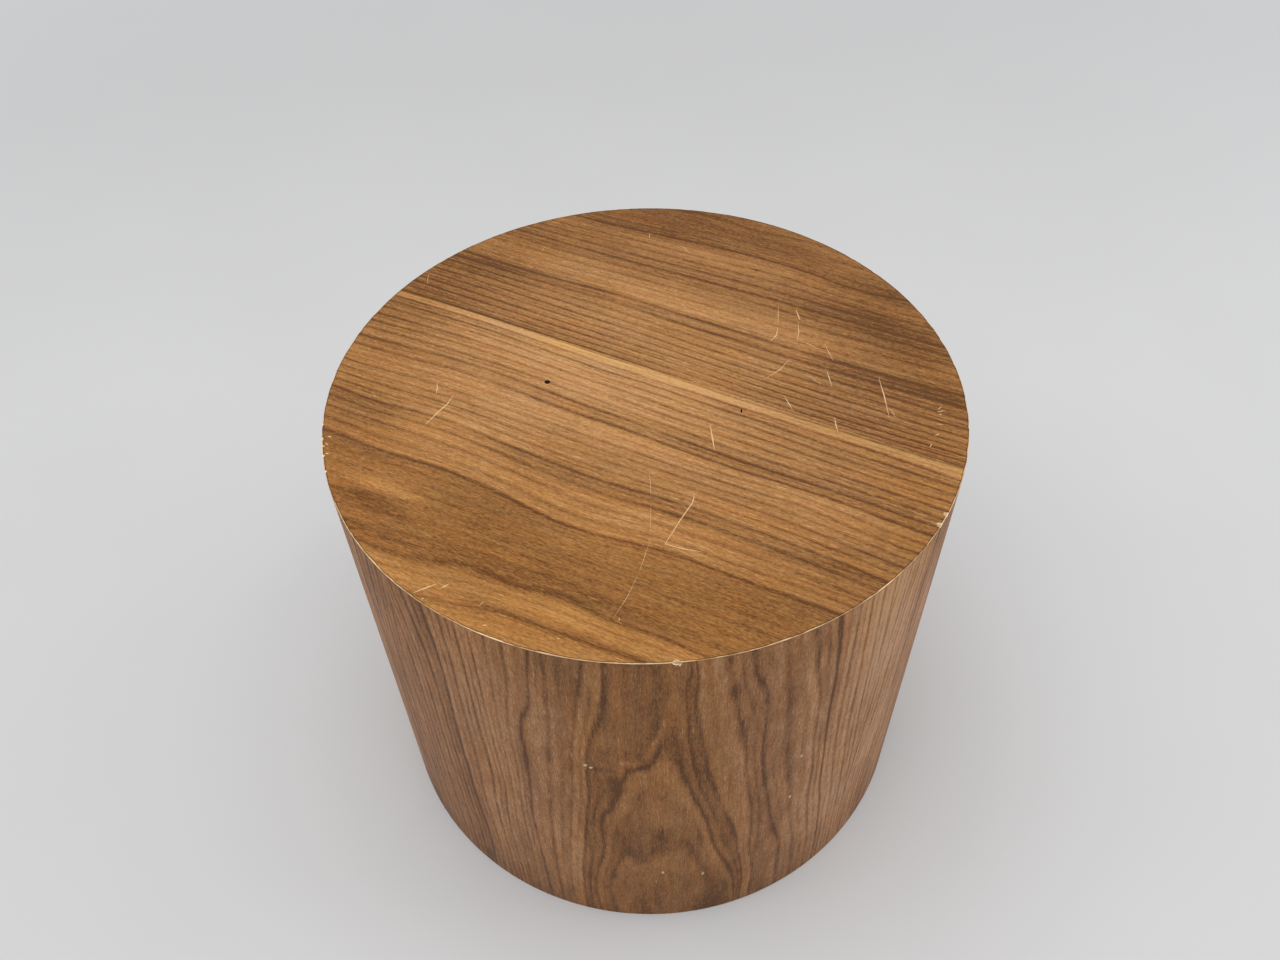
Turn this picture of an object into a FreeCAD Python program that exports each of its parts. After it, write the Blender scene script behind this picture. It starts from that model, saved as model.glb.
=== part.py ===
"""Drum side table: a walnut-veneered drum that stands on four screw-in levelling feet.

Units are millimetres. +Z is up and the front of the drum faces -Y. The origin is on the
floor, on the drum's own axis. Every piece that comes off the bench is one STEP file.

From the outside in, the drum is a skin of veneer leaves, two wraps of bending plywood,
and a cage of three ring formers with posts let into notches round their rims. A
full-width top disc sits on the cage and the wraps, balanced by a backer below and faced
with two veneer leaves above. A dust panel closes the underside, and the feet screw up
into tee nuts in the bottom former.
"""

import FreeCAD
import Part

import math
import os

# Drum
DRUM_DIAMETER = 508.0
TABLE_HEIGHT = 432.0
FLOOR_GAP = 1.0  # lower edge of the drum above the floor, feet screwed right in
VENEER_THICKNESS = 0.6
EASED_EDGE = 0.4  # bevel that sanding leaves along the rim and the lower edge

# Top
TOP_THICKNESS = 18.0
TOP_SEAM_TURN = -26.8  # degrees from +X: the line where the two top leaves meet
TOP_SEAM_OFFSET = 26.9  # that line's distance from the drum's axis, towards the back

# Side veneer
SIDE_LEAF_NAMES = ("front", "right", "back", "left")
SIDE_LEAF_TURN = -2.0  # degrees from the front to the middle of the front leaf

# Wraps of bending plywood
WRAP_THICKNESS = 5.0
WRAP_SEAM_GAP = 0.4
OUTER_SEAM_POST = 4  # each wrap's butt seam is glued down along one post
INNER_SEAM_POST = 2

# Cage of formers and posts
FORMER_THICKNESS = 18.0
FORMER_WIDTH = 62.0
POST_COUNT = 8
POST_WIDTH = 45.0
POST_DEPTH = 22.0
NOTCH_CLEARANCE = 0.2

# Dust panel
DUST_PANEL_THICKNESS = 4.0
DUST_PANEL_CLEARANCE = 1.0  # inside the inner wrap
FOOT_CUTOUT_CLEARANCE = 2.0  # round each foot's pad

# Pan-headed wood screws, all driven upwards
SCREW_CLEARANCE = 0.1  # round the shank in its hole
TOP_SCREW_LENGTH = 30.0  # under the head
TOP_SCREW_DIAMETER = 4.5
TOP_SCREW_HEAD_DIAMETER = 9.0
TOP_SCREW_HEAD_HEIGHT = 3.0
PANEL_SCREW_LENGTH = 16.0
PANEL_SCREW_DIAMETER = 3.5
PANEL_SCREW_HEAD_DIAMETER = 7.0
PANEL_SCREW_HEAD_HEIGHT = 2.2
PANEL_SCREW_INSET = 44.0  # from the dust panel's rim

# Levelling feet, M8
FOOT_NAMES = ("back_right", "back_left", "front_left", "front_right")
FOOT_TRAVEL = 12.0
FOOT_INSET = 36.0  # from the cage's rim
PAD_DIAMETER = 34.0
PAD_HEIGHT = 8.0
PAD_BAND_HEIGHT = 5.5
PAD_CROWN_DIAMETER = 20.0
COLLAR_WIDTH = 13.0  # across the flats
COLLAR_HEIGHT = 4.0
STEM_DIAMETER = 8.0
STEM_TIP = 1.2
STEM_SOCKET_DEPTH = 5.0
STEM_CLEARANCE = 0.1  # between the stem and the tee nut's thread

# Tee nuts, driven up into the bottom former with their flanges flush
TEE_BARREL_DIAMETER = 10.0
TEE_BARREL_LENGTH = 11.0  # with the flange
TEE_FLANGE_DIAMETER = 24.0
TEE_FLANGE_THICKNESS = 1.5
TEE_PRONG_COUNT = 4
TEE_PRONG_LENGTH = 6.0
TEE_PRONG_WIDTH = 4.0
TEE_PRONG_THICKNESS = 1.2
TEE_NUT_CLEARANCE = 0.05  # round the flange and the prongs

# Heights and radii that follow
DRUM_RADIUS = DRUM_DIAMETER / 2
WRAP_OUTSIDE = DRUM_RADIUS - VENEER_THICKNESS
WRAP_MIDDLE = WRAP_OUTSIDE - WRAP_THICKNESS
CAGE_RADIUS = WRAP_MIDDLE - WRAP_THICKNESS
FACE_BOTTOM = TABLE_HEIGHT - VENEER_THICKNESS
TOP_BOTTOM = FACE_BOTTOM - TOP_THICKNESS
WRAP_TOP = TOP_BOTTOM - VENEER_THICKNESS
CAGE_BOTTOM = PAD_HEIGHT + COLLAR_HEIGHT  # the collars seat on the flush tee nuts
PANEL_BOTTOM = CAGE_BOTTOM - DUST_PANEL_THICKNESS
TOP_FORMER_BOTTOM = WRAP_TOP - FORMER_THICKNESS
MID_FORMER_BOTTOM = (CAGE_BOTTOM + TOP_FORMER_BOTTOM) / 2
POST_INSIDE = CAGE_RADIUS - POST_DEPTH
TOP_SCREW_RADIUS = CAGE_RADIUS - FORMER_WIDTH / 2
PANEL_RADIUS = CAGE_RADIUS - DUST_PANEL_CLEARANCE
PANEL_SCREW_RADIUS = PANEL_RADIUS - PANEL_SCREW_INSET
FOOT_RADIUS = CAGE_RADIUS - FOOT_INSET
STEM_TOP = CAGE_BOTTOM + TEE_BARREL_LENGTH + FOOT_TRAVEL  # in full thread when screwed out

ORIGIN = FreeCAD.Vector(0, 0, 0)
UP = FreeCAD.Vector(0, 0, 1)
FRONT_TURN = -90.0  # degrees from +X to the front
FULL_TURN = 360.0


def revolved(edges, angle=FULL_TURN):
    """A solid turned about the Z axis from edges that close a profile in the XZ plane."""
    return Part.Face(Part.Wire(edges)).revolve(ORIGIN, UP, angle)


def outline(points):
    """Straight edges through (radius, height) points, closed back to the first."""
    corners = [FreeCAD.Vector(radius, 0, height) for radius, height in points]
    return [Part.makeLine(a, b) for a, b in zip(corners, corners[1:] + corners[:1])]


def ring(inside, outside, bottom, thickness, angle=FULL_TURN):
    """A flat ring or tube, or a part of one that starts on the XZ plane."""
    top = bottom + thickness
    return revolved(
        outline([(inside, bottom), (outside, bottom), (outside, top), (inside, top)]), angle
    )


def disc(radius, bottom, thickness):
    return Part.makeCylinder(radius, thickness, FreeCAD.Vector(0, 0, bottom))


def turned(shape, angle):
    """A copy turned about the drum's axis, in degrees."""
    copy = shape.copy()
    copy.rotate(ORIGIN, UP, angle)
    return copy


def placed(shape, radius, angle):
    """A copy moved out from the drum's axis, then turned round it."""
    copy = shape.copy()
    copy.translate(FreeCAD.Vector(radius, 0, 0))
    return turned(copy, angle)


def spaced(count, start=0.0):
    """Equal angles round the drum, in degrees."""
    return [start + number * FULL_TURN / count for number in range(count)]


def post_step():
    return FULL_TURN / POST_COUNT


def post_angles():
    return spaced(POST_COUNT, post_step() / 2)


def bay_angles():
    """The middles of the bays between posts."""
    return spaced(POST_COUNT)


def foot_angles():
    """The middle of the bay nearest to each diagonal."""
    diagonals = spaced(len(FOOT_NAMES), FULL_TURN / len(FOOT_NAMES) / 2)
    return [round(diagonal / post_step()) * post_step() for diagonal in diagonals]


def top_face_disc():
    """The veneered face before it is parted at the seam, its rim eased by sanding."""
    return revolved(
        outline(
            [
                (0, FACE_BOTTOM),
                (DRUM_RADIUS, FACE_BOTTOM),
                (DRUM_RADIUS, TABLE_HEIGHT - EASED_EDGE),
                (DRUM_RADIUS - EASED_EDGE, TABLE_HEIGHT),
                (0, TABLE_HEIGHT),
            ]
        )
    )


def top_leaves():
    """The front and back leaves of the top, which meet along one straight seam.

    The line where the turned face closes on itself is kept in the leaf that is cut away."""
    back_half = Part.makeBox(
        2 * DRUM_DIAMETER,
        DRUM_DIAMETER,
        TABLE_HEIGHT,
        FreeCAD.Vector(-DRUM_DIAMETER, TOP_SEAM_OFFSET, FACE_BOTTOM),
    )
    front = turned(top_face_disc(), -FRONT_TURN).cut(back_half)
    back = turned(top_face_disc(), FRONT_TURN).common(back_half)
    return {
        "top_leaf_front": turned(front, TOP_SEAM_TURN),
        "top_leaf_back": turned(back, TOP_SEAM_TURN),
    }


def side_leaf():
    """One leaf of the side, from the lower edge to the underside of the top leaves."""
    profile = outline(
        [
            (WRAP_OUTSIDE, FLOOR_GAP),
            (DRUM_RADIUS - EASED_EDGE, FLOOR_GAP),
            (DRUM_RADIUS, FLOOR_GAP + EASED_EDGE),
            (DRUM_RADIUS, FACE_BOTTOM),
            (WRAP_OUTSIDE, FACE_BOTTOM),
        ]
    )
    return revolved(profile, FULL_TURN / len(SIDE_LEAF_NAMES))


def side_leaves():
    """The leaves round the side, which meet edge to edge."""
    count = len(SIDE_LEAF_NAMES)
    first_edge = FRONT_TURN + SIDE_LEAF_TURN - FULL_TURN / count / 2
    return {
        f"side_leaf_{name}": turned(side_leaf(), angle)
        for name, angle in zip(SIDE_LEAF_NAMES, spaced(count, first_edge))
    }


def wrap(inside, seam_post):
    """One layer of bending plywood, open by the gap at its butt seam."""
    gap_angle = math.degrees(WRAP_SEAM_GAP / (inside + WRAP_THICKNESS / 2))
    height = WRAP_TOP - FLOOR_GAP
    layer = ring(inside, inside + WRAP_THICKNESS, FLOOR_GAP, height, FULL_TURN - gap_angle)
    return turned(layer, post_angles()[seam_post - 1] + gap_angle / 2)


def screw(length, diameter, head_diameter, head_height, seat):
    """A pan-headed wood screw, its shank upwards from the height of its seat."""
    head = disc(head_diameter / 2, seat - head_height, head_height)
    return head.fuse(disc(diameter / 2, seat, length))


def at_bays(shape):
    """A copy in the middle of each bay of a shape on the drum's axis."""
    return [placed(shape, TOP_SCREW_RADIUS, angle) for angle in bay_angles()]


def top_screws():
    """Screws up through the top former into the top disc."""
    return at_bays(
        screw(
            TOP_SCREW_LENGTH,
            TOP_SCREW_DIAMETER,
            TOP_SCREW_HEAD_DIAMETER,
            TOP_SCREW_HEAD_HEIGHT,
            TOP_FORMER_BOTTOM,
        )
    )


def top_screw_holes():
    radius = TOP_SCREW_DIAMETER / 2 + SCREW_CLEARANCE
    return at_bays(disc(radius, TOP_FORMER_BOTTOM, TOP_SCREW_LENGTH + SCREW_CLEARANCE))


def at_posts(shape):
    """A copy in line with each post of a shape on the drum's axis."""
    return [placed(shape, PANEL_SCREW_RADIUS, angle) for angle in post_angles()]


def panel_screws():
    """Screws up through the dust panel into the bottom former."""
    return at_posts(
        screw(
            PANEL_SCREW_LENGTH,
            PANEL_SCREW_DIAMETER,
            PANEL_SCREW_HEAD_DIAMETER,
            PANEL_SCREW_HEAD_HEIGHT,
            PANEL_BOTTOM,
        )
    )


def panel_screw_holes():
    radius = PANEL_SCREW_DIAMETER / 2 + SCREW_CLEARANCE
    return at_posts(disc(radius, PANEL_BOTTOM, PANEL_SCREW_LENGTH + SCREW_CLEARANCE))


def at_feet(shape):
    """A copy at each foot of a shape on the drum's axis."""
    return [placed(shape, FOOT_RADIUS, angle) for angle in foot_angles()]


def top_disc():
    return disc(WRAP_OUTSIDE, TOP_BOTTOM, TOP_THICKNESS).cut(top_screw_holes())


def top_backer():
    """The veneer under the top disc that keeps it flat."""
    return disc(WRAP_OUTSIDE, WRAP_TOP, VENEER_THICKNESS).cut(top_screw_holes())


def former(bottom):
    """A ring of the cage, notched at its rim for the posts."""
    notch = Part.makeBox(
        2 * POST_DEPTH,
        POST_WIDTH + 2 * NOTCH_CLEARANCE,
        FORMER_THICKNESS,
        FreeCAD.Vector(
            POST_INSIDE - NOTCH_CLEARANCE, -POST_WIDTH / 2 - NOTCH_CLEARANCE, bottom
        ),
    )
    blank = ring(CAGE_RADIUS - FORMER_WIDTH, CAGE_RADIUS, bottom, FORMER_THICKNESS)
    return blank.cut([turned(notch, angle) for angle in post_angles()])


def bottom_former():
    """The ring that carries the feet, bored, recessed and slit for the tee nuts."""
    bore = disc(TEE_BARREL_DIAMETER / 2, CAGE_BOTTOM, FORMER_THICKNESS)
    recess_radius = TEE_FLANGE_DIAMETER / 2 + TEE_NUT_CLEARANCE
    recess = disc(recess_radius, CAGE_BOTTOM, TEE_FLANGE_THICKNESS)
    holes = panel_screw_holes()
    for cutter in [bore, recess] + tee_prongs(TEE_NUT_CLEARANCE):
        holes += at_feet(cutter)
    return former(CAGE_BOTTOM).cut(holes)


def post():
    """An upright of the cage, rounded outside to seat the inner wrap, on the +X side."""
    length = WRAP_TOP - CAGE_BOTTOM
    corner = FreeCAD.Vector(POST_INSIDE, -POST_WIDTH / 2, CAGE_BOTTOM)
    blank = Part.makeBox(2 * POST_DEPTH, POST_WIDTH, length, corner)
    return blank.common(disc(CAGE_RADIUS, CAGE_BOTTOM, length))


def dust_panel():
    """The hardboard that closes the drum below, cut out round the feet."""
    panel = disc(PANEL_RADIUS, PANEL_BOTTOM, DUST_PANEL_THICKNESS)
    cutout_radius = PAD_DIAMETER / 2 + FOOT_CUTOUT_CLEARANCE
    cutout = disc(cutout_radius, PANEL_BOTTOM, DUST_PANEL_THICKNESS)
    return panel.cut(at_feet(cutout) + panel_screw_holes())


def tee_prongs(grow=0.0):
    """The pointed prongs above a tee nut's flange, on the nut's own axis."""
    width = TEE_PRONG_WIDTH + 2 * grow
    thickness = TEE_PRONG_THICKNESS + 2 * grow
    outside = TEE_FLANGE_DIAMETER / 2 + grow
    root = CAGE_BOTTOM + TEE_FLANGE_THICKNESS
    points = [
        FreeCAD.Vector(outside, -width / 2, root),
        FreeCAD.Vector(outside, width / 2, root),
        FreeCAD.Vector(outside, 0, root + TEE_PRONG_LENGTH + grow),
    ]
    blade = Part.Face(Part.makePolygon(points + points[:1]))
    prong = blade.extrude(FreeCAD.Vector(-thickness, 0, 0))
    half_step = FULL_TURN / TEE_PRONG_COUNT / 2
    return [turned(prong, angle) for angle in spaced(TEE_PRONG_COUNT, half_step)]


def tee_nut():
    """A pronged steel tee nut on its own axis, its flange flush with the bottom former."""
    flange = disc(TEE_FLANGE_DIAMETER / 2, CAGE_BOTTOM, TEE_FLANGE_THICKNESS)
    barrel = disc(TEE_BARREL_DIAMETER / 2, CAGE_BOTTOM, TEE_BARREL_LENGTH)
    bore = disc(STEM_DIAMETER / 2 + STEM_CLEARANCE, CAGE_BOTTOM, TEE_BARREL_LENGTH)
    return flange.fuse([barrel] + tee_prongs()).cut(bore).removeSplitter()


def foot_stem():
    """An M8 stem with its hexagonal collar and the spigot that the pad is pressed on."""
    collar_radius = COLLAR_WIDTH / math.sqrt(3)
    corners = [
        FreeCAD.Vector(
            collar_radius * math.cos(math.radians(angle)),
            collar_radius * math.sin(math.radians(angle)),
            PAD_HEIGHT,
        )
        for angle in spaced(6)
    ]
    collar = Part.Face(Part.makePolygon(corners + corners[:1])).extrude(UP * COLLAR_HEIGHT)
    radius = STEM_DIAMETER / 2
    spigot_bottom = PAD_HEIGHT - STEM_SOCKET_DEPTH
    tip_bottom = STEM_TOP - STEM_TIP
    rod = disc(radius, spigot_bottom, tip_bottom - spigot_bottom)
    tip = Part.makeCone(radius, radius - STEM_TIP, STEM_TIP, FreeCAD.Vector(0, 0, tip_bottom))
    return collar.fuse([rod, tip]).removeSplitter()


def foot_pad():
    """The nylon pad with its sloping shoulder, ring-shaped round the stem's spigot."""
    radius = PAD_DIAMETER / 2
    socket_bottom = PAD_HEIGHT - STEM_SOCKET_DEPTH
    return revolved(
        outline(
            [
                (0, 0),
                (radius, 0),
                (radius, PAD_BAND_HEIGHT),
                (PAD_CROWN_DIAMETER / 2, PAD_HEIGHT),
                (STEM_DIAMETER / 2, PAD_HEIGHT),
                (STEM_DIAMETER / 2, socket_bottom),
                (0, socket_bottom),
            ]
        )
    )


def levelling_feet():
    """Each foot's stem and pad, where they stand."""
    pieces = {}
    for name, stem, pad in zip(FOOT_NAMES, at_feet(foot_stem()), at_feet(foot_pad())):
        pieces[f"foot_stem_{name}"] = stem
        pieces[f"foot_pad_{name}"] = pad
    return pieces


def drum_pieces():
    """Every piece of the table by its node name."""
    pieces = {
        "top_disc": top_disc(),
        "top_backer": top_backer(),
        "outer_wrap": wrap(WRAP_MIDDLE, OUTER_SEAM_POST),
        "inner_wrap": wrap(CAGE_RADIUS, INNER_SEAM_POST),
        "top_former": former(TOP_FORMER_BOTTOM).cut(top_screw_holes()),
        "mid_former": former(MID_FORMER_BOTTOM),
        "bottom_former": bottom_former(),
        "dust_panel": dust_panel(),
        "top_screws": Part.makeCompound(top_screws()),
        "dust_panel_screws": Part.makeCompound(panel_screws()),
        "tee_nuts": Part.makeCompound(at_feet(tee_nut())),
    }
    for number, angle in enumerate(post_angles(), start=1):
        pieces[f"post_{number}"] = turned(post(), angle)
    pieces.update(top_leaves())
    pieces.update(side_leaves())
    pieces.update(levelling_feet())
    return pieces


def main():
    os.makedirs("parts", exist_ok=True)
    for name, shape in drum_pieces().items():
        shape.exportStep(f"parts/{name}.step")


main()
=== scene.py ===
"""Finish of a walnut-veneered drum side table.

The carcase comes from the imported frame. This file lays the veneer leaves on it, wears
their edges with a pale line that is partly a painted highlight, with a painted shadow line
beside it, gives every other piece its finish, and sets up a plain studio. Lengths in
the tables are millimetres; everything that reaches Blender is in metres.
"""

import math

import bmesh
import bpy
import numpy as np
from bpy.props import (
    FloatProperty,
    FloatVectorProperty,
    IntProperty,
    PointerProperty,
)
from bpy.types import Operator, Panel, PropertyGroup
from mathutils import Matrix, Vector


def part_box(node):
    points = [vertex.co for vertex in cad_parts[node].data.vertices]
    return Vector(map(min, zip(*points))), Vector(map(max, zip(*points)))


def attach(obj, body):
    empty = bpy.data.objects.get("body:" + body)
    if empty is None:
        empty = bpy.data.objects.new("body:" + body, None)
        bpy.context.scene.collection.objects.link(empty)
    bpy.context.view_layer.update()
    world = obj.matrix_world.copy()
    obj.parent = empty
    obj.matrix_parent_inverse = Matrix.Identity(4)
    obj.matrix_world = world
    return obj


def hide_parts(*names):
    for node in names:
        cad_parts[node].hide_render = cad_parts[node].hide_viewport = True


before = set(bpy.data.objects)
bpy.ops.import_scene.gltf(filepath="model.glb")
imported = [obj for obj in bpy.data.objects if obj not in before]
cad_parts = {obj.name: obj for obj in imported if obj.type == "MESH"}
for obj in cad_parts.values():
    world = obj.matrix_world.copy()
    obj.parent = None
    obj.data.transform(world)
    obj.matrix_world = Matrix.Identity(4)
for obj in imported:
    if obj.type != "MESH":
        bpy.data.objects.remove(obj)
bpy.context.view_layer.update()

bl_info = {
    "name": "Drum Side Table",
    "version": (1, 0, 0),
    "blender": (4, 5, 0),
    "location": "3D View > Sidebar > Drum Table",
    "description": "Veneers, worn edges, carcase, feet and studio of a drum side table",
    "category": "Object",
}

MM = 0.001

# The frame's own sizes
TOP_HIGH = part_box("top_disc")[1]
LEAF_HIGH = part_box("top_leaf_front")[1]
SIDE_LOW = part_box("side_leaf_front")[0]
PAD_LOW, PAD_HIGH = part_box("foot_pad_front_right")
STEM_LOW, STEM_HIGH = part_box("foot_stem_front_right")
DRUM_RADIUS = -SIDE_LOW.y
TABLE_HEIGHT = LEAF_HIGH.z
FACE_BOTTOM = TOP_HIGH.z
VENEER_THICKNESS = TABLE_HEIGHT - FACE_BOTTOM
SIDE_BOTTOM = SIDE_LOW.z
PAD_RADIUS = (PAD_HIGH.x - PAD_LOW.x) / 2
PAD_HEIGHT = PAD_HIGH.z
STEM_BOTTOM = STEM_LOW.z
STEM_TOP = STEM_HIGH.z
PANEL_SCREW_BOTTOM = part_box("dust_panel_screws")[0].z
FOOT_NAMES = ("back_right", "back_left", "front_left", "front_right")

# The leaves. The top's grain runs at a slant, and its two leaves meet along one seam.
TOP_GRAIN_TURN = -25.7  # degrees from +X
TOP_SEAM_TURN = -26.8  # degrees from +X
TOP_SEAM_OFFSET = 26.9  # from the drum's axis
SIDE_LEAF_NAMES = ("front", "right", "back", "left")
SIDE_LEAF_TURN = -2.0  # degrees from the front to the middle of the front leaf
SIDE_LEAF_ANGLE = 360.0 / len(SIDE_LEAF_NAMES)

# Growth lines by ring number, each through (along the grain, across it) on the top and
# (round the drum, below the rim) on the side. Between two lines the rings are even.
TOP_FRONT_GROWTH = {
    0: ((-250, 31.6), (0, 26.9), (250, 22.0)),
    1: ((-230, 23.5), (-125, 21.8), (-50, 17.7), (0, 16.4), (75, 14.2), (150, 12.5), (250, 8.8)),
    2: ((-245, 15.2), (-150, 16.0), (-90, 12.8), (0, 9.9), (100, 6.5), (200, 2.4), (250, 1.0)),
    8: (
        (-245, -43), (-200, -41), (-150, -38), (-100, -38.4), (-60, -42), (0, -43.5),
        (50, -46), (100, -47.5), (170, -47), (240, -50),
    ),
    10: (
        (-240, -63), (-175, -60), (-100, -61), (0, -62), (60, -63.3), (125, -63),
        (150, -62), (200, -68), (230, -70),
    ),
    14: (
        (-238, -94), (-200, -95.3), (-150, -92), (-125, -90.4), (-100, -92.5), (-50, -96),
        (20, -98.4), (75, -95.6), (150, -97.5), (200, -100), (230, -103),
    ),
    18: (
        (-205, -138), (-150, -139), (-100, -136.6), (-50, -140.7), (0, -147.5), (25, -147),
        (60, -143), (80, -140.4), (125, -141.3), (200, -141.3),
    ),
    22: ((-165, -184), (-130, -178.5), (-95, -174.5), (-40, -175), (50, -175), (165, -176)),
    25: (
        (-130, -220), (-100, -220), (-75, -216.8), (-50, -210.3), (-30, -207.5), (0, -209.4),
        (30, -203.8), (50, -204.7), (68, -209.4), (110, -206.6), (140, -208.4),
    ),
    28: ((-55, -244), (-20, -238), (0, -233), (50, -231), (100, -229)),
    30: ((-40, -256), (0, -250), (50, -248)),
}
TOP_BACK_GROWTH = {
    0: ((-250, 31.6), (0, 26.9), (250, 22.0)),
    5: (
        (-240, 71.5), (-200, 70.8), (-150, 68), (-100, 66), (-50, 63.9), (0, 61.5),
        (50, 58.7), (100, 56.8), (150, 55.5), (240, 53),
    ),
    9: (
        (-228, 103), (-150, 100), (-100, 101), (-50, 101), (0, 98.7), (50, 97.8),
        (100, 95.9), (150, 95), (200, 95.9), (235, 97),
    ),
    14: ((-200, 152), (-100, 150), (0, 150.5), (50, 150), (100, 149), (200, 149)),
    17: ((-175, 178), (-100, 180), (0, 182), (50, 183.4), (100, 178), (160, 176)),
    19: (
        (-160, 194), (-125, 194), (-100, 195.5), (-50, 199), (0, 201), (50, 199.6),
        (75, 197.4), (100, 193.7), (125, 191.8), (155, 194.6),
    ),
    23: ((-100, 238), (-40, 244), (0, 238), (60, 241), (110, 232)),
}
SIDE_GROWTH = {
    7.6: ((-12, 345), (20, 330), (4, 420)),
    8: (
        (-35, 425), (-37, 350), (-30, 318), (-24, 298), (-13, 313), (0, 300), (8, 291),
        (20, 288), (27, 282), (31, 302), (39, 325), (44, 350), (45, 425),
    ),
    9: (
        (-51, 425), (-50, 345), (-43, 305), (-41, 262), (-42, 240), (-37, 222), (-25, 190),
        (-22, 170), (-18, 152), (-10, 145), (0, 138), (4, 122), (8, 107), (13, 120), (20, 143),
        (27, 170), (33, 200), (43, 240), (50, 285), (58, 318), (66, 345), (72, 380), (74, 425),
    ),
    9.2: ((20, 60), (18, 90), (24, 120)),
    9.4: (
        (26, 8), (19, 38), (12, 26), (10, 60), (4, 95), (-4, 118), (-13, 134), (-29, 144),
        (-41, 149), (-37, 165), (-38, 195),
    ),
    9.7: ((-10, 0), (-15, 50), (-25, 100)),
    10: (
        (-30, 0), (-32, 45), (-38, 80), (-46, 110), (-49, 140), (-52, 215), (-58, 285),
        (-63, 340), (-64, 425), (30, 0), (31, 50), (34, 85), (38, 120), (43, 165),
        (54, 215), (62, 250), (71, 290), (77, 340), (80, 425),
    ),
    11: (
        (-44, 0), (-49, 40), (-54, 85), (-58, 115), (-62, 180), (-68, 250), (-73, 320),
        (-74, 425), (52, 0), (58, 45), (64, 90), (71, 140), (75, 185), (81, 235),
        (84, 325), (89, 425),
    ),
    12: (
        (-72, 0), (-74, 60), (-77, 130), (-82, 200), (-86, 280), (-87, 425), (69, 0),
        (72, 30), (82, 58), (85, 100), (85, 150), (90, 200), (97, 245), (104, 290),
        (114, 330), (118, 425),
    ),
    13: (
        (-81, 0), (-84, 30), (-88, 75), (-97, 105), (-98, 150), (-102, 240), (-102, 300),
        (-99, 425), (92, 0), (99, 60), (104, 120), (108, 180), (117, 240), (122, 300),
        (130, 360), (132, 425),
    ),
    14: (
        (-101, 0), (-104, 70), (-109, 125), (-112, 250), (-111, 425), (114, 0), (119, 30),
        (122, 60), (130, 105), (131, 150), (137, 220), (141, 300), (148, 360), (149, 425),
    ),
    15: (
        (-114, 0), (-117, 120), (-119, 250), (-119, 425), (134, 0), (140, 60), (142, 120),
        (144, 170), (147, 215), (150, 260), (155, 300), (158, 340), (161, 425),
    ),
    16: ((-127, 0), (-127, 110), (-125, 230), (-127, 425), (152, 0), (155, 100), (168, 300), (172, 425)),
    17: ((-138, 0), (-138, 150), (-139, 250), (-137, 425), (163, 0), (169, 110), (179, 290), (182, 425)),
    18: ((-152, 0), (-150, 200), (-151, 425), (175, 0), (180, 120), (188, 290), (192, 425)),
    19: (
        (-168, 0), (-163, 60), (-164, 140), (-165, 200), (-164, 290), (-160, 360),
        (-162, 425), (187, 0), (191, 120), (199, 290), (202, 425),
    ),
    20: ((-188, 0), (-182, 40), (-176, 130), (-176, 240), (-173, 425)),
    22: ((-212, 0), (-203, 80), (-201, 200), (-200, 425)),
}

# How dark each growth line is, from ring 0 outwards
TOP_FRONT_LINES = (
    0.9, 0.9, 1.0, 0.75, 0.8, 0.8, 0.85, 0.9, 0.95, 0.55, 0.8, 0.65, 0.7, 0.65, 0.85, 0.7, 0.6,
    0.55, 0.8, 0.2, 0.15, 0.25, 0.3, 0.2, 0.3, 0.5, 0.4, 0.25, 0.45, 0.25, 0.25, 0.25,
)
TOP_BACK_LINES = (
    1.0, 0.85, 0.95, 0.8, 0.85, 1.0, 0.75, 0.75, 0.85, 0.9, 0.4, 0.35, 0.6, 0.6, 0.8, 0.6, 0.6,
    0.55, 0.35, 0.85, 0.3, 0.25, 0.2, 0.35, 0.25,
)
SIDE_LEFT_LINES = (
    0.2, 0.2, 0.2, 0.2, 0.2, 0.2, 0.2, 0.2, 0.4, 0.85, 0.75, 0.6, 0.6, 0.85, 0.6, 0.5, 0.65,
    0.65, 0.55, 0.9, 0.7, 0.6, 0.55, 0.5,
)
SIDE_RIGHT_LINES = (
    0.2, 0.2, 0.2, 0.2, 0.2, 0.2, 0.2, 0.2, 0.4, 0.85, 0.6, 0.7, 0.75, 0.45, 0.65, 0.9, 0.5,
    0.6, 0.6, 0.6, 0.55, 0.5, 0.5, 0.5,
)

# Ground tone by ring: 0 is the lightest wood of the leaf, 1 the darkest
TOP_FRONT_TONES = (
    (0, 0.15), (0.15, 0.1), (0.85, 0.12), (1.1, 0.3), (2, 0.33), (3, 0.33), (6, 0.34), (6.8, 0.42),
    (8, 0.4), (8.4, 0.28), (10, 0.31), (11, 0.38), (13, 0.38), (13.7, 0.37), (14.2, 0.5),
    (15.2, 0.47), (16, 0.38), (17.7, 0.33), (18.1, 0.57), (19, 0.56), (21, 0.55), (24.5, 0.58),
    (25.2, 0.54), (25.6, 0.31), (27.3, 0.27), (27.8, 0.45), (28.4, 0.4), (29, 0.3), (31, 0.34),
)
TOP_BACK_TONES = (
    (0, 0.54), (1, 0.46), (3, 0.46), (5, 0.4), (7.5, 0.42), (8.2, 0.5), (9.1, 0.48), (9.6, 0.32),
    (11.5, 0.31), (13, 0.4), (14, 0.5), (15.5, 0.5), (16.5, 0.45), (18, 0.42), (19, 0.62),
    (21, 0.58), (24, 0.62),
)
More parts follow.
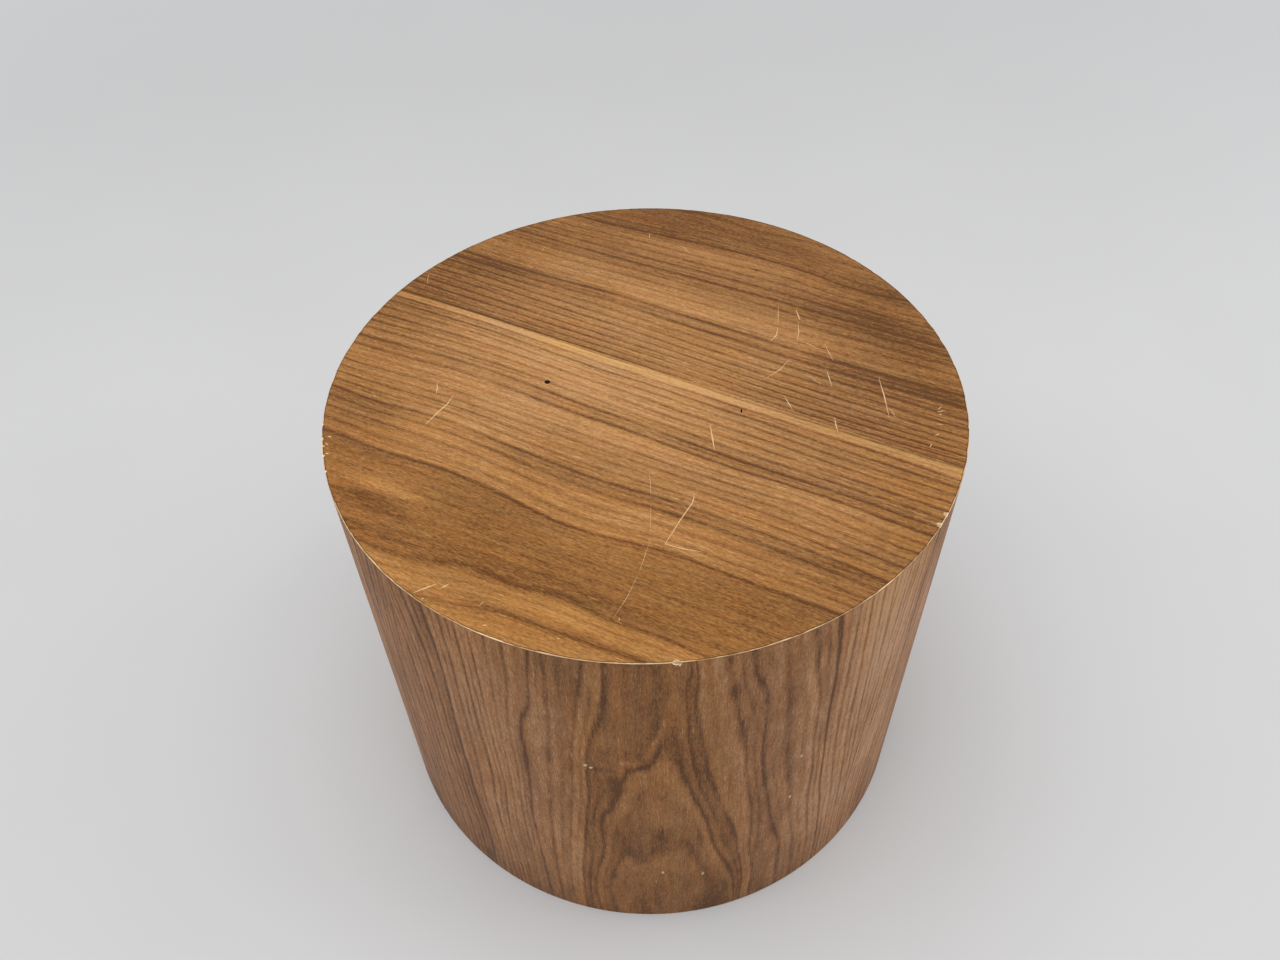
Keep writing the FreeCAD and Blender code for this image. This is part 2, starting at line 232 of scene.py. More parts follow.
SIDE_TONES = (
    (0, 0.42), (7.6, 0.43), (7.95, 0.43), (8.05, 0.62), (8.3, 0.56), (8.6, 0.42), (8.9, 0.4),
    (9.1, 0.55), (9.35, 0.48), (9.45, 0.62), (9.95, 0.6), (10.1, 0.32), (10.8, 0.36), (11.2, 0.5),
    (12.1, 0.55), (12.5, 0.4), (13.1, 0.55), (13.6, 0.4), (14.5, 0.42), (15.2, 0.36), (16, 0.3),
    (18.6, 0.3), (19.2, 0.45), (20, 0.4), (23, 0.36),
)

# Soft patches of darker or lighter wood: middle, half lengths, how much darker. The top's
# are along and across its grain, the side's round the drum and below the rim. Some of the
# side's are painted light: painted shade along its foot, and painted sheen near the edges of its leaves.
TOP_FRONT_PATCHES = (
    (-60, 0, 150, 60, -0.18),
    (-128, -195, 40, 30, 0.1),
    (-56, -160, 50, 25, 0.1),
    (230, -60, 70, 90, 0.16),
    (-200, -120, 70, 60, 0.14),
    (140, 12, 70, 30, 0.14),
    (30, -215, 110, 40, 0.2),
    (-150, -130, 90, 60, -0.03),
    (180, -150, 60, 50, 0.12),
    (-242, 14, 60, 40, 0.3),
    (-127, -105, 50, 22, -0.14),
    (160, -56, 40, 18, -0.1),
    (-140, -186, 32, 7, 0.22),
    (-132, -171, 38, 4.5, -0.4),
    (-110, -158, 45, 8, -0.05),
    (130, -40, 80, 8, 0.12),
    (-60, -98, 70, 6, 0.08),
    (-91, -88, 45, 22, -0.1),
    (60, -118, 60, 7, -0.1),
    (-150, -120, 60, 8, 0.08),
    (40, -218, 50, 8, -0.15),
    (10, -233, 50, 3.5, 0.22),
    (75, -229.5, 40, 3.5, 0.2),
)
TOP_BACK_PATCHES = (
    (-30, 60, 120, 50, -0.12),
    (190, 110, 90, 90, 0.28),
    (-75, 240, 100, 45, 0.22),
    (0, 150, 140, 40, 0.08),
    (-123, 163, 50, 28, 0.1),
    (-195, 128, 40, 30, 0.06),
    (-60, 190, 45, 25, 0.04),
    (128, 195, 35, 25, 0.1),
    (-215, 80, 70, 80, 0.24),
    (130, 160, 60, 9, 0.14),
    (-100, 165, 60, 12, -0.12),
    (-40, 182, 60, 8, -0.14),
    (40, 222, 60, 14, 0.08),
    (-80, 230, 40, 10, -0.06),
    (60, 92, 90, 6, 0.04),
    (91, 88, 40, 14, -0.15),
    (-160, 56, 60, 20, -0.02),
    (198, 51, 40, 25, -0.02),
    (163, 123, 45, 20, 0.06),
)
# Stretches of the pale band beside the top's seam, in the same way
SAPWOOD = (
    (-62, 24, 66, 18, 0.6),
    (60, 20, 60, 14, 0.14),
    (175, 18, 70, 14, 0.3),
    (-215, 26, 50, 14, 0.15),
)
SIDE_PATCHES_AND_PAINTED_LIGHT = (
    (-28, 163, 6, 8, 0.4),
    (-29.5, 178, 4.2, 12, 0.4),
    (-31, 196, 2.4, 10, 0.2),
    (-38, 148, 12, 2.4, 0.55),
    (-20, 142, 9, 2.6, 0.2),
    (5, 256, 7, 15, 0.3),
    (-9, 272, 15, 17, 0.14),
    (-82, 220, 13, 300, -0.14),
    (-160, 418, 24, 30, 0.2),
    (-120, 418, 20, 30, 0.08),
    (120, 15, 12, 22, 0.18),
    (125, 350, 14, 40, -0.1),
    (125, 210, 18, 300, -0.1),
    # Painted shade: darker along the foot of the side, near the floor
    (0, 430, 260, 60, 0.18),
    (-75, 410, 30, 50, -0.1),
    (2, 288, 8, 7, 0.1),
    (-14, 300, 9, 9, 0.08),
    # Painted shade: darker towards the floor
    (10, 410, 110, 55, 0.12),
    (-200, 200, 60, 300, 0.12),
    # Painted sheen: the next two lighten the leaf near its right edge
    (190, 60, 45, 120, -0.3),
    (175, 260, 45, 120, -0.1),
    # Painted light: lighter near the leaf's left edge, towards the top
    (-175, 100, 60, 150, -0.1),
    (150, 230, 14, 120, -0.1),
    (-90, 240, 12, 120, -0.08),
    (50, 230, 12, 60, 0.08),
    (44, 140, 6, 40, 0.14),
    (59, 50, 4, 14, 0.3),
    (0, 200, 16, 26, -0.06),
    (-100, 160, 5, 55, 0.14),
    (142, 130, 4, 60, 0.16),
    (135, 40, 10, 40, 0.1),
    (-45, 415, 30, 25, -0.18),
    (-20, 120, 35, 30, -0.12),
    (120, 120, 14, 40, -0.12),
    (200, 20, 30, 30, -0.14),
    (-20, 350, 35, 25, 0.1),
    (65, 355, 40, 30, 0.1),
    (-42, 240, 16, 30, 0.1),
    (-178, 40, 14, 40, 0.12),
)

# Streaks of the veneers: their length, width and width, then how far each goes up and
# down on the top and on the side
STREAK_SIZES = {
    "cloud": (120, 32, 32),
    "curl": (26, 7, 7),
    "bands": (200, 3.8, 3.8),
    "lanes": (70, 1.7, 1.7),
    "fibres": (10, 0.8, 0.8),
    "mottle": (3.4, 1.2, 1.2),
}
TOP_SWINGS = {
    "cloud": 0.14, "curl": 0.11, "bands": 0.14, "lanes": 0.13, "fibres": 0.42, "mottle": 0.42,
}
SIDE_SWINGS = {
    "cloud": 0.3, "curl": 0.26, "bands": 0.16, "lanes": 0.11, "fibres": 0.34, "mottle": 0.44,
}
STREAK_DETAIL = 2.0
STREAK_ROUGHNESS = 0.58
# How dark the growth lines are: at the line, in the wash beyond it, and the least and most
# of the fainter line halfway to the next one
TOP_LINE_DEPTHS = (0.37, 0.26, 0.06, 0.26)
SIDE_LINE_DEPTHS = (0.45, 0.15, 0.1, 0.34)
# Casts of colour in soft patches: sizes, strength, and what it multiplies
COLOUR_CASTS = (
    ((60, 14, 14), 0.45, (1.06, 0.99, 0.84)),
    ((80, 7, 7), 0.45, (1.06, 0.94, 0.94)),
    ((90, 10, 10), 0.6, (0.95, 1.0, 1.13)),
)
CAST_SPAN = (0.42, 0.66)  # values of the noise between which a cast comes in
GOLDEN_CAST = (1.01, 0.95, 0.75)
TOP_FRONT_GOLDEN = (8.0, 24.0)  # rings over which the wood turns golden
TOP_BACK_GOLDEN = (16.0, 40.0)
SIDE_GOLDEN = (13.0, 9.0)
RIM_GOLDEN = (15 * MM, 85 * MM, 0.5, 0.0)  # from and to this far inside the rim, and shares

# Growth lines
LINE_ROUGHNESS = 0.09  # rings that a line strays by over short stretches
FAINT_SPAN = (0.35, 0.6)
FAINT_WIDTH = 0.17  # rings on each side of a fainter line
AXIS_BLEND = 5 * MM  # on each side of the figure's axis, from its left lines to its right
OUTER_LINES = (90 * MM, 150 * MM, 1.0, 1.6)  # stronger away from the axis
LOWER_LINES = (220 * MM, 420 * MM, 1.0, 0.72)  # weaker towards the floor
PORE_DEPTH = 0.2
FLECK_DEPTH = -0.32
MIDDLE_TONE = 0.42  # depth at which the wood has its middle colour
SAPWOOD_START = (0.02, 0.14)  # rings
SAPWOOD_END = (0.42, 0.72)

# Wear along the rim, whose pale line is partly a painted highlight, the painted shadow line
# beyond it, and small spots of bare wood
WEAR_HIGHLIGHT_SPAN = (0.35, 0.65)
WEAR_HIGHLIGHT_LEAST = 0.4  # shares of the worn width
WEAR_HIGHLIGHT_MOST = 1.5
WEAR_HIGHLIGHT_BLUR = 0.12 * MM
# Painted shadow: a thin dark line just beyond the worn edge, below the rim on the side and inside it on
# the top
RIM_SHADOW_MIDDLE = 0.45 * MM
RIM_SHADOW = (0.1 * MM, 0.45 * MM, 0.7, 0.0)
RIM_SHADOW_SHADE = 0.42
SPECK_CELLS = 62.0  # to the metre
SPECK_SIZES = (0.8, 1.0, 0.0, 0.042)
SPECK_SHARE = 0.6

# Noise by what it shapes: grain sizes along the three axes, detail, roughness, shift
PATTERNS = {
    "line wander": ((150, 22, 22), 2.0, 0.5, (0, 0, 0)),
    "line roughness": ((22, 2.6, 2.6), 2.0, 0.55, (3, 7, 1)),
    "line fade": ((55, 7, 7), 2.0, 0.5, (9, 1, 3)),
    "faint lines": ((90, 12, 12), 1.0, 0.5, (5, 8, 2)),
    "pores": ((4.5, 0.42, 0.42), 1.0, 0.5, (8, 3, 2)),
    "flecks": ((12, 0.75, 0.75), 1.0, 0.5, (2, 9, 4)),
    "sapwood threads": ((60, 1.1, 1.1), 2.0, 0.5, (0, 0, 0)),
    "wear and highlight edge": ((16, 16, 16), 3.0, 0.65, (5, 1, 8)),
    "wear and highlight patches": ((34, 34, 34), 3.0, 0.6, (2, 6, 4)),
    "torn fibres": ((1.6, 1.6, 1.6), 3.0, 0.6, (0, 0, 0)),
    "chip tones": ((0.8, 0.8, 0.8), 2.0, 0.5, (0, 0, 0)),
    "softwood bends": ((40, 40, 300), 2.0, 0.5, (0, 0, 0)),
    "softwood fibres": ((0.6, 0.6, 25), 3.0, 0.6, (0, 0, 0)),
    "felt": ((2.2, 2.2, 0.6), 4.0, 0.65, (0, 0, 0)),
    "felt clouds": ((45, 45, 10), 2.0, 0.5, (0, 0, 0)),
    "spangle": ((3, 3, 3), 3.0, 0.6, (0, 0, 0)),
    "dull zinc": ((9, 9, 9), 3.0, 0.6, (2, 4, 6)),
    "bloom": ((6, 6, 6), 3.0, 0.6, (0, 0, 0)),
    "scuffs": ((12, 0.8, 3), 2.0, 0.6, (0, 0, 0)),
    "floor mist": ((300, 300, 300), 2.0, 0.5, (0, 0, 0)),
}
# Values of some of them between which a mark comes in, and its share at both
SHARES = {
    "line fade": (0.3, 0.65, 0.7, 1.15),
    "pores": (0.6, 0.72, 0.0, 1.0),
    "flecks": (0.64, 0.71, 0.0, 1.0),
    "sapwood threads": (0.42, 0.62, 1.0, 0.1),
    "wear and highlight patches": (0.36, 0.62, 0.35, 1.0),
    "scuffs": (0.62, 0.75, 0.0, 1.0),
}
SHADER_SOCKETS = {
    "specular": "Specular IOR Level", "metallic": "Metallic", "subsurface": "Subsurface Weight",
}
NOISE_SPAN = (0.3, 0.7)  # where most values of any noise lie

# Shades of one colour along a ramp: where each lies, and what it multiplies the colour by
CHIP_SHADES = ((0.0, 0.62), (0.6, 1.0), (1.0, 1.25))
LAYER_SHADES = ((0.0, 1.15), (0.5, 1.0), (1.0, 0.45))
SOFTWOOD_SHADES = ((0.0, 1.08), (0.45, 1.0), (1.0, 0.5))
HARDBOARD_SHADES = ((0.25, 0.6), (0.55, 1.0), (0.85, 1.35))
ZINC_SHADES = ((0.3, 0.72), (0.7, 1.0))
TORN_SHADE = 0.76
FRESH_SHADE = 0.9
# Thickness of a layer and its grain sizes
BACKING_LAYERS = (5.0, (60, 1, 1))
WRAP_LAYERS = (1.6, (1, 1, 60))
FORMER_LAYERS = (2.0, (60, 1.2, 1.2))
GLUE_WIDTH = 0.07  # layers

# Marks of use on the top: width, then its path on the plan
SCRATCHES = (
    (
        0.75,
        ((35, -109), (34.5, -114), (33.4, -118), (24, -134), (12.6, -155.6), (24, -160), (40, -164)),
    ),
    (0.3, ((2.6, -86), (3.3, -100), (3.4, -112))),
    (0.25, ((3.2, -118), (2.6, -135), (2.2, -147))),
    (0.3, ((1.6, -153), (-3, -170), (-6, -179))),
    (0.3, ((-7, -182), (-14, -200), (-23.8, -218))),
    (1.15, ((50.5, -37), (51.6, -52), (52.5, -66))),
    (0.85, ((111, -9), (114, -17), (116, -24))),
    (1.0, ((189, 11), (190, -10), (190, -35))),
    (0.5, ((192, -25), (194, -31), (195, -35))),
    (1.0, ((147.7, -33.3), (147.7, -42), (148.2, -49.3))),
    (0.55, ((150.7, 53.2), (153, 42), (155.4, 31.8))),
    (0.85, ((148.5, 20.2), (149.4, 11), (150.1, 1.9))),
    (0.35, ((134, 14.9), (138, 9), (141.9, 4))),
    (0.5, ((117.4, 104.7), (115.8, 90), (114.6, 79))),
    (1.0, ((114, 74), (112, 65.4), (106.4, 57.9))),
    (1.1, ((132, 97), (133, 90), (134, 84))),
    (0.7, ((132, 81), (131, 68), (128, 56))),
    (0.6, ((119, 34), (111, 23), (96, 11))),
    (0.6, ((129, 59), (138, 53), (146, 46))),
    (1.0, ((-152.4, 1.6), (-156.6, -9), (-164.2, -20), (-171.4, -31.9))),
    (0.9, ((-167.5, 16.5), (-166.4, 8.7), (-166.7, 2.6))),
    (0.5, ((-161.7, 14.6), (-158.3, 13.8))),
    (0.7, ((-217.3, 2.6), (-214.8, 1.8))),
    (0.5, ((8, 214), (8, 206))),
    (0.5, ((35, 193), (41, 188), (45, 180))),
    (0.4, ((-91, 190), (-88, 196))),
    (0.45, ((-191, 160), (-191, 152), (-190, 145))),
    (1.2, ((-160.5, -193.5), (-152, -189.5), (-145, -186.3))),
    (1.1, ((-142.1, -189.9), (-139, -188.4), (-136.6, -186.5))),
    (1.0, ((-154.3, -199), (-152.5, -198))),
    (1.0, ((-111, -221.6), (-107.7, -221.2))),
    (0.8, ((-60.7, -233.3), (-58.7, -233))),
    (0.5, ((-19.8, -217.1), (-19.8, -220.3))),
    (0.4, ((-111.3, -201.7), (-115, -206.2))),
    (1.3, ((-245.6, -42), (-242.6, -43))),
    (1.0, ((-246.5, -49), (-244, -51.5))),
    (1.3, ((-244.5, -60), (-241.5, -61))),
    (0.8, ((227.9, -30.1), (234, -28.7))),
    (0.7, ((229.3, -26.8), (233, -24.2))),
    (0.8, ((228.7, -33), (231.4, -32.2))),
    (0.6, ((224.8, -42.7), (230.5, -43.9))),
    (0.8, ((221.1, -55.7), (225.9, -53.2))),
    (0.8, ((215.4, -67.4), (217.5, -64.3))),
)
SCRATCH_TIP = 0.2  # share of its width that a scratch has at both ends
# Flakes broken off the rim, by the side leaf below: degrees from the front, half sizes
# round, inwards and down
RIM_CHIPS = {
    "front": ((3.9, 3.1, 2.7, 3.4), (4.4, 1.4, 1.2, 5.2)),
    "right": ((55.4, 2.9, 4.3, 1.6), (58.0, 2.6, 3.6, 1.4)),
    "left": (
        (-75.6, 1.9, 2.2, 1.3),
        (-79.8, 2.3, 1.9, 1.4),
        (-71.8, 1.5, 1.7, 1.1),
        (-83.4, 1.2, 1.4, 1.0),
        (-78.0, 0.8, 3.0, 0.8),
    ),
}
# Dents and nicks in the side: round, below the rim, half width, half height, lean in degrees
SIDE_DENTS = (
    (-50.2, 145, 1.8, 2.2, 0),
    (-46, 147.5, 1.7, 1.9, 20),
    (7.5, 335, 1.3, 2.6, 0),
    (43, 347, 1.2, 2.8, 5),
    (56, 172, 0.9, 5.5, 0),
    (122.5, 183, 1.6, 1.9, 0),
    (118, 249, 1.4, 2.4, 0),
    (35, 43, 0.45, 8.0, -2),
    (-58.6, 30, 0.2, 18.0, -2),
    (44, 44, 0.35, 6.5, 0),
    (22, 90, 0.45, 5.5, 3),
    (30, 89.5, 0.4, 4.0, 0),
    (96, 87.5, 0.25, 8.5, -38),
    (114, 124, 0.7, 3.0, -12),
    (116, 133, 0.6, 2.6, -12),
    (118, 141, 0.7, 2.4, -12),
    (-84, 212, 0.4, 6.0, 4),
    (-118, 96, 0.35, 7.0, -3),
)
BARE_DENT = 1.0  # half width above which a dent goes down to bare wood
# The pin hole is cut only a little into the veneer; its near-black finish is painted shade
PIN_HOLE = (-78.0, 14.0, 2.4, 2.3)  # on the plan, then its half sizes
DARK_DASH = (76.0, -24.0, 0.7, 2.4)
PIT_DEPTH = 0.9  # of the veneer's thickness

# Meshes
CLOSE = 0.01 * MM  # points nearer than this count as one place
RING_NEAR = 0.05 * MM  # the same for the points of a ring of edges
FACING = 0.99  # part of a face's normal along an axis from which it faces that way
EASE_SEGMENTS = 4
LAST_RING = 1.5  # mesh steps left round the middle of the top
TOP_STRETCH = (0.35, 1.0)  # how much steps along and across the grain count
SIDE_STRETCH = (1.0, 0.3)  # the same, round the drum and down it
LEAF_ANGLE = 30.0  # degrees between faces up to which they are shaded as one

# Small forms of the feet and the dust panel's screws
CROWN_MARGIN = 0.2  # of the crown's radius
CROWN_GROOVE = (0.5 * MM, 0.35 * MM)  # margin and depth, as in the next two
CROWN_ROUND = 0.25 * MM
SOLE_MARGIN = 3.0 * MM
SOLE_DISH = (0.8 * MM, 0.6 * MM)
SOLE_ROUND = 0.7 * MM
FLUTE = (0.35 * MM, 0.4 * MM)
FLUTED_ZONE = 0.9  # of the pad's radius
UPRIGHT = 0.1  # upward part of a face's normal below which it counts as upright
PAD_ANGLE = 35.0  # degrees between faces up to which they are shaded as one
STEM_ANGLE = 25.0
SCREW_ANGLE = 30.0
THREAD_STEPS = 24  # to a turn
THREAD_SPARE = 4  # turns beyond the stem
THREAD_PROUD = 0.1 * MM
CREST_CUT = 0.04 * MM
COLLAR_CHAMFER = 0.9 * MM
COLLAR_CUT = 0.15 * MM
SCREW_HEAD_ROUND = 1.2 * MM
SCREW_POINT = 4 * MM
SCREW_POINT_SHARE = 0.12  # of the shank's width
RECESS_BLADE = (4.2 * MM, 0.9 * MM, 2.6 * MM)
RECESS_TAPER = 0.45

# Nodes of the frame that this file makes again
REMADE_NODES = ("leaf", "foot_", "dust_panel_screws")

# Studio: each lamp's name, place, aim, width, height and power
LAMPS = (
    ("ceiling_lamp", (-0.2, -0.3, 2.4), (0, 0, 0.3), 2.2, 2.0, 27.0),
    ("right_lamp", (2.4, 0.2, 1.3), (0, 0, 0.25), 1.6, 1.8, 16.0),
    ("left_lamp", (-2.4, -0.1, 1.4), (0, 0, 0.25), 1.6, 1.8, 9.0),
)
AMBIENT_TINT = (1.0, 0.99, 0.97, 1.0)
AMBIENT_STRENGTH = 0.55
FLOOR_SHADE = 0.985
FLOOR_MELT = (0.9, 3.2)  # metres from the middle, where the floor starts and ends to melt

# Camera, in metres, degrees and millimetres of lens
CAMERA_PLACE = (0.0, -0.6379, 1.0365)
CAMERA_PITCH = 48.05
CAMERA_PAN = -0.466
CAMERA_ROLL = 1.572
CAMERA_LENS = 30.83
CAMERA_SENSOR = 36.0
CAMERA_REACH = (0.05, 50.0)


def srgb(red, green, blue):
    """A colour written in the usual 0 to 255 steps, as Blender's linear values."""
    steps = [value / 255 for value in (red, green, blue)]
    return tuple(s / 12.92 if s <= 0.04045 else ((s + 0.055) / 1.055) ** 2.4 for s in steps)


def length(name, description, default):
    return FloatProperty(
        name=name, description=description, default=default, min=0.0, precision=5,
        subtype="DISTANCE", unit="LENGTH",
    )


def colour(name, description, *steps):
    return FloatVectorProperty(
        name=name, description=description, default=srgb(*steps), size=3, min=0.0, max=1.0,
        subtype="COLOR",
    )


class DrumTableSizes(PropertyGroup):
    eased_edge: length("Eased edge", "Radius that sanding leaves along the rim", 0.5 * MM)
    # The pale worn line is partly real wear and partly a painted highlight on the eased rim
    wear_and_highlight_width: length("Worn edge", "Width of the pale worn line on each side of the rim", 0.5 * MM)
    mesh_step: length("Mesh step", "Distance between the points of a veneer leaf", 4.0 * MM)
    dent_depth: length("Dent depth", "Depth of the dents in the side", 0.35 * MM)
    pad_band: length("Pad band", "Height of a foot's upright band", 5.5 * MM)
    pad_crown: length("Pad crown", "Radius of the flat on top of a foot's pad", 10.0 * MM)
    pad_flutes: IntProperty(
        name="Pad flutes", description="Grip flutes round a foot's pad", default=24, min=6,
    )
    collar_width: length("Collar width", "Across the flats of a stem's collar", 13.0 * MM)
    collar_height: length("Collar height", "Height of a stem's collar", 4.0 * MM)
    stem_radius: length("Stem radius", "Outside of the stem's thread", 4.0 * MM)
    stem_tip: length("Stem tip", "Chamfer at the top of a stem", 1.2 * MM)
    thread_pitch: length("Thread pitch", "Pitch of the levelling stems", 1.25 * MM)
    thread_depth: length("Thread depth", "Depth of the stem's thread", 0.7 * MM)
    screw_head: length("Screw head", "Radius of a dust panel screw's head", 3.5 * MM)
    screw_head_height: length("Screw head height", "Height of a screw's head", 2.2 * MM)
    screw_shank: length("Screw shank", "Radius of a dust panel screw's shank", 1.75 * MM)
    screw_length: length("Screw length", "Length of a dust panel screw under its head", 16.0 * MM)
    screw_circle: length("Screw circle", "From the drum's axis to each dust panel screw", 198.4 * MM)
    screw_count: IntProperty(
        name="Panel screws", description="Screws that hold the dust panel", default=8, min=3,
    )
    floor_size: length("Floor", "Width of the studio floor", 14.0)
    rim_segments: IntProperty(
        name="Rim segments", description="Straight pieces that make the rim", default=384, min=96,
    )


class DrumTableColours(PropertyGroup):
    top_light: colour("Top, light", "Lightest wood of the top", 200, 156, 107)
    top_middle: colour("Top, middle", "Ground of the top", 166, 119, 71)
    top_dark: colour("Top, dark", "Darkest growth lines of the top", 94, 60, 32)
    side_light: colour("Side, light", "Lightest wood of the side", 190, 148, 111)
    side_middle: colour("Side, middle", "Ground of the side", 157, 112, 74)
    side_dark: colour("Side, dark", "Darkest growth lines of the side", 96, 64, 42)
    sapwood: colour("Sapwood", "Pale band beside the top's seam", 216, 174, 106)
    # This colour also paints the pale line along the rim, which is partly a painted highlight
    bare_wood: colour("Bare wood", "Scratches, dents and worn edges", 236, 203, 160)
    rubbed_wood: colour("Rubbed wood", "Fine scratches in the side", 200, 156, 116)
    fresh_wood: colour("Fresh wood", "Flakes broken off the rim", 255, 230, 202)
    # Painted shade: near black, for the shade inside the pin hole; the dark dash takes it too
    hole: colour("Hole", "Inside of the pin hole", 34, 22, 15)
    board: colour("Board", "Core of the top", 205, 172, 128)
    plywood: colour("Plywood", "Formers and wraps", 214, 183, 138)
    softwood: colour("Softwood", "Posts", 221, 188, 138)
    backing: colour("Backing", "Veneer under the top", 176, 132, 92)
    hardboard: colour("Hardboard", "Dust panel", 118, 82, 54)
    zinc: colour("Zinc", "Screws, nuts and stems", 176, 178, 180)
    nylon: colour("Nylon", "Pads of the feet", 226, 224, 216)
    floor: colour("Floor", "Studio floor and background", 214, 215, 217)


# Selecting and shaping


def deselect_all():
    for item in bpy.context.selected_objects:
        item.select_set(False)


def make_active(item):
    deselect_all()
    item.select_set(True)
    bpy.context.view_layer.objects.active = item


def added(name):
    """The primitive that was just added, under its own name."""
    item = bpy.context.active_object
    item.name = name
    item.data.name = name
    return item


def select_parts(item, kind, test):
    """Selects the faces or edges of a mesh in edit mode that pass a test."""
    mode = {"faces": "FACE", "edges": "EDGE", "verts": "VERT"}[kind]
    bpy.ops.mesh.select_mode(type=mode)
    mesh = bmesh.from_edit_mesh(item.data)
    for group in (mesh.verts, mesh.edges, mesh.faces):
        for part in group:
            part.select_set(False)
    for part in getattr(mesh, kind):
        if test(part):
            part.select_set(True)
    mesh.select_flush_mode()
    bmesh.update_edit_mesh(item.data)


def edit(item):
    make_active(item)
    bpy.ops.object.mode_set(mode="EDIT")


def leave_edit():
    bpy.ops.object.mode_set(mode="OBJECT")


def face_outwards():
    bpy.ops.mesh.select_all(action="SELECT")
    bpy.ops.mesh.normals_make_consistent(inside=False)


def apply_place(item):
    """Moves an object's place, turn and scale into its mesh."""
    make_active(item)
    bpy.ops.object.transform_apply(location=True, rotation=True, scale=True)


def apply_modifier(item, kind, **settings):
    make_active(item)
    bpy.ops.object.modifier_add(type=kind)
    modifier = item.modifiers[-1]
    for name, value in settings.items():
        setattr(modifier, name, value)
    bpy.ops.object.modifier_apply(modifier=modifier.name)


def smooth(item, degrees=40.0):
    make_active(item)
    bpy.ops.object.shade_smooth_by_angle(angle=math.radians(degrees))


def joined(items, name):
    deselect_all()
    for item in items:
        item.select_set(True)
    bpy.context.view_layer.objects.active = items[0]
    bpy.ops.object.join()
    return added(name)


def cut_away(item, cutter):
    """Cuts one mesh out of another. The new faces take the cutter's finish."""
    apply_modifier(
        item, "BOOLEAN", operation="DIFFERENCE", solver="EXACT", object=cutter,
        material_mode="TRANSFER",
    )


def remove(item):
    make_active(item)
    bpy.ops.object.delete()


def points_of(item):
    places = np.zeros(len(item.data.vertices) * 3)
    item.data.vertices.foreach_get("co", places)
    return places.reshape(-1, 3)


def store(item, name, values):
    """Keeps one number for each point of a mesh, for its finish to read."""
    attribute = item.data.attributes.new(name, "FLOAT", "POINT")
    attribute.data.foreach_set("value", np.asarray(values, np.float32))


# Figure of the wood


def plate_kernel(distance):
    return np.where(distance > 0, distance**2 * np.log(np.maximum(distance, 1e-9)), 0.0)


def ring_numbers(growth, places, stretch):
    """Ring number at each place, from a smooth sheet through the leaf's growth lines."""
    known = np.array([point for line in growth.values() for point in line], float)
    rings = np.array([ring for ring, line in growth.items() for _ in line], float)
    known = known * stretch
    places = places * stretch
    count = len(known)
    gaps = np.linalg.norm(known[:, None] - known[None], axis=2)
    system = np.zeros((count + 3, count + 3))
    system[:count, :count] = plate_kernel(gaps)
    system[:count, count] = 1.0
    system[:count, count + 1:] = known
    system[count:, :count] = system[:count, count:].T
    weights = np.linalg.solve(system, np.concatenate([rings, np.zeros(3)]))
    reach = np.linalg.norm(places[:, None] - known[None], axis=2)
    return plate_kernel(reach) @ weights[:count] + weights[count] + places @ weights[count + 1:]


def patch_depths(patches, places):
    """Sum of the soft patches at each place."""
    total = np.zeros(len(places))
    for middle_a, middle_b, half_a, half_b, depth in patches:
        reach = ((places[:, 0] - middle_a) / half_a) ** 2 + ((places[:, 1] - middle_b) / half_b) ** 2
        total += depth * np.exp(-reach)
    return total


def top_grain_places(points):
    """Along and across the top's grain, in millimetres."""
    turn = math.radians(TOP_GRAIN_TURN)
    along = points[:, 0] * math.cos(turn) + points[:, 1] * math.sin(turn)
    across = -points[:, 0] * math.sin(turn) + points[:, 1] * math.cos(turn)
    return np.stack([along, across], 1) / MM


def side_leaf_places(points, leaf):
    """Round the drum from the leaf's figure, and below the rim, in millimetres.

    The leaves are book-matched: every second one is turned over."""
    middle = SIDE_LEAF_TURN + leaf * SIDE_LEAF_ANGLE
    angle = np.degrees(np.arctan2(points[:, 0], -points[:, 1])) - middle
    angle = (angle + 180) % 360 - 180
    if leaf % 2:
        angle = -angle
    arc = np.radians(angle + SIDE_LEAF_TURN) * DRUM_RADIUS
    return np.stack([arc, TABLE_HEIGHT - points[:, 2]], 1) / MM


# Finishes


def new_finish(name):
    """A material, its empty tree and the socket that gives places on the piece."""
    material = bpy.data.materials.new(name)
    material.use_nodes = True
    tree = material.node_tree
    tree.nodes.clear()
    return material, tree, add_node(tree, "ShaderNodeTexCoord").outputs["Object"]


def add_node(tree, kind, values=None, **settings):
    """A node with its settings. A value that is a socket is linked, any other is written."""
    node = tree.nodes.new(kind)
    for name, value in settings.items():
        setattr(node, name, value)
    for key, value in (values or {}).items():
        socket = node.inputs[key]
        if isinstance(value, bpy.types.NodeSocket):
            tree.links.new(value, socket)
        else:
            socket.default_value = value
    return node


def calculate(tree, operation, *values):
    node = add_node(tree, "ShaderNodeMath", dict(enumerate(values)), operation=operation)
    return node.outputs[0]


def times(tree, first, second):
    return calculate(tree, "MULTIPLY", first, second)


def total(tree, *values):
    result = values[0]
    for value in values[1:]:
        result = calculate(tree, "ADD", result, value)
    return result


def kept_number(tree, name):
    """The number that store() keeps for each point of the piece."""
    return add_node(tree, "ShaderNodeAttribute", attribute_name=name).outputs["Fac"]


def map_range(tree, value, low, high, to_low=0.0, to_high=1.0, kind="SMOOTHSTEP"):
    node = add_node(
        tree, "ShaderNodeMapRange",
        {"Value": value, "From Min": low, "From Max": high, "To Min": to_low, "To Max": to_high},
        interpolation_type=kind,
    )
    return node.outputs["Result"]


